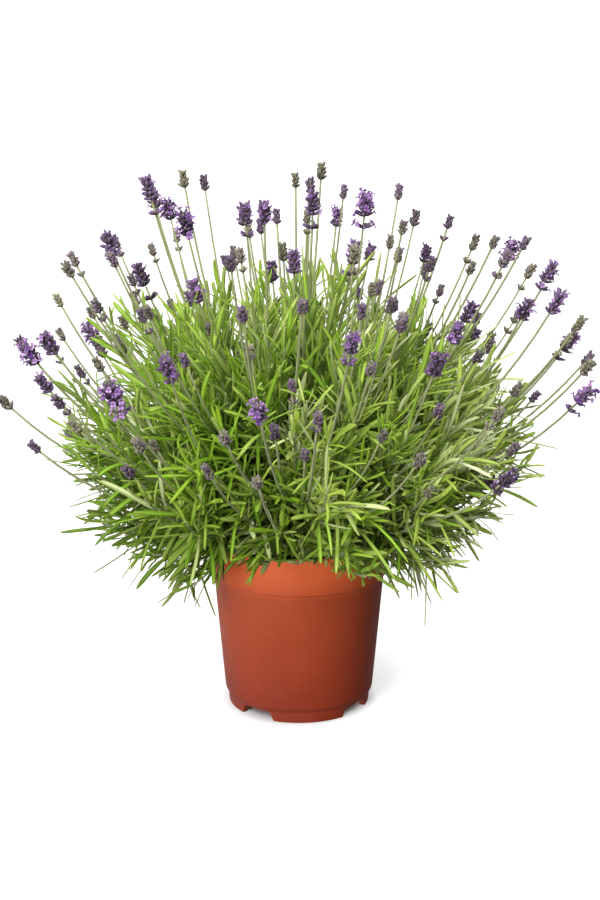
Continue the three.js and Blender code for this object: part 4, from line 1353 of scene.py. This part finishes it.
def studio():
    """A white floor that glows a little beyond the pot's foot and throws no light back, with a painted shadow where
    it does not glow close to the foot; soft suns from the upper left and front, from high on the right and from
    behind;
    and a surround that is brighter on the left."""
    mesh = bpy.data.meshes.new("studio_floor")
    corners = [(x * FLOOR_REACH, y * FLOOR_REACH, 0) for x, y in ((-1, -1), (1, -1), (1, 1), (-1, 1))]
    mesh.from_pydata(corners, [], [(0, 1, 2, 3)])
    floor = put("studio_floor", mesh)
    white = Finish("studio_white", Roughness=1.0, Specular_IOR_Level=0.0, Emission_Color=(1, 1, 1, 1))
    white.shader.inputs["Base Color"].default_value = (FLOOR_WHITE, FLOOR_WHITE, FLOOR_WHITE, 1)
    # Painted shadow: the floor's glow fades to nothing towards the pot's foot
    away = white.node("VectorMath", {0: white.place((1, 1, 0))}, operation="LENGTH").outputs["Value"]
    white.use("Emission Strength", white.spread(away, PAINTED_SHADOW_REACH, PAINTED_SHADOW_END, 0.0, FLOOR_GLOW))
    mesh.materials.append(white.material)
    floor.visible_diffuse = floor.visible_glossy = False
    for name, turn, spread, strength in SUNS:
        light = bpy.data.lights.new(name, "SUN")
        light.angle, light.energy = math.radians(spread), strength
        put(name, light).rotation_euler = [math.radians(each) for each in turn]
    world = bpy.data.worlds.new("studio_surround")
    bpy.context.scene.world = world
    world.use_nodes = True
    surround = Nodes(world.node_tree)
    way = surround.node("TexCoord").outputs["Generated"]
    bright = {0: way, 1: unit(np.array(SURROUND_BRIGHT)).tolist()}
    bright = surround.node("VectorMath", bright, operation="DOT_PRODUCT").outputs["Value"]
    shade = surround.spread(bright, -1, 1, SURROUND_LOW, SURROUND_HIGH)
    seen = surround.node("LightPath").outputs["Is Camera Ray"]
    strength = surround.node("Mix", {"Factor": seen, "A": shade, "B": SURROUND_SEEN}).outputs[0]
    ground = surround.tree.nodes["Background"]
    surround.tree.links.new(strength, ground.inputs["Strength"])
    ground.inputs["Color"].default_value = (1, 1, 1, 1)
    bpy.context.scene.view_settings.view_transform = "Standard"


def stem_wood(stem):
    """A main stem: a woody tube from its root in the soil along its curve, which thins and greens towards its tip."""
    marks = np.linspace(0, 1, WOOD_RINGS)
    curve = np.broadcast_to(stem["curve"], (1, WOOD_RINGS, 4, 3))
    path = np.concatenate([stem["root"][None, None], curve_points(curve, marks[None])], 1)
    ways = np.concatenate([UP[None, None], curve_ways(curve, marks[None])], 1)
    radii = lerp(WOOD_RADIUS, WOOD_TIP_RADIUS, np.concatenate([[0], marks]))[None]
    wood = np.concatenate([[1], np.clip(1.1 - marks * 0.9, 0, 1)])[None]
    return tubes(path, ways, stem["side"][None], radii, 10, 0.05, tone=0.5, along=0.0, wood=wood)


def plant():
    """The plant: per main stem one piece of stems, one of leaves and one of closed heads, and a piece for each open
    head. Each piece stands for the spray or head that its stem or stalk belongs to."""
    rng = np.random.default_rng(SEED)
    stems, stalks, sides = main_stems(), flower_stalks(), side_shoots()
    branch([*stalks, *sides], stems)
    fills = fill_shoots(stems, rng)
    stalks += late_stalks(stems, np.random.default_rng(SEED + 1))

    leaves = [
        leafy(fills, np.full(len(fills), FILL_LEAFY), rng, **FILL_LEAVES),
        leafy(sides, np.full(len(sides), SIDE_LEAFY), rng, **SIDE_LEAVES),
    ]
    lengths = curve_lengths(np.array([stalk["curve"] for stalk in stalks]))
    for stalk, length in zip(stalks, lengths):
        stalk["bare"] = length * rng.uniform(*BARE_SHARES)
    shares = np.array([1 - stalk["bare"] / length - BARE_NECK for stalk, length in zip(stalks, lengths)])
    leaves.append(leafy(stalks, shares, rng, **STALK_LEAVES))

    lines = [*stalks, *sides, *fills]
    curves, side, owner = (np.array([line[name] for line in lines]) for name in ("curve", "side", "owner"))
    t = np.broadcast_to(np.linspace(0, 1, STALK_RINGS), (len(lines), STALK_RINGS))
    paths, ways = curve_points(curves[:, None], t), curve_ways(curves[:, None], t)
    radii = lerp(STALK_RADIUS, STALK_TIP_RADIUS, t)
    tone = rng.uniform(0, 1, len(lines))
    heads = flower_heads(stalks, rng)

    leaf, stalk_look = leaf_finish(), stalk_finish()
    head_looks = [calyx_finish(), bract_finish(), stalk_look, petal_finish()]
    for i, stem in enumerate(stems):
        name = f"spray_{i + 1:02d}"
        own = owner == i
        green = tubes(
            paths[own], ways[own], side[own], radii[own], 8, 0.09,
            tone=tone[own], along=t[own], wood=np.clip(0.25 - t[own] * 2, 0, 1),
        )
        piece(f"{name}_stems", [stem_wood(stem), green], [stalk_look], [name])
        piece(f"{name}_leaves", [pick(each, [i], 0) for each in leaves], [leaf], [name])
        closed = [k for k, stalk in enumerate(stalks) if stalk["owner"] == i and not stalk["open"]]
        if closed:
            piece(f"{name}_buds", head_sets(heads, closed), head_looks[:3], [name])
    opened = [k for k, stalk in enumerate(stalks) if stalk["open"]]
    for number, k in enumerate(opened):
        name = f"head_{number + 1:02d}"
        piece(f"{name}_flowers", head_sets(heads, [k]), head_looks, [name])


camera()
studio()
pot()
soil()
plant()
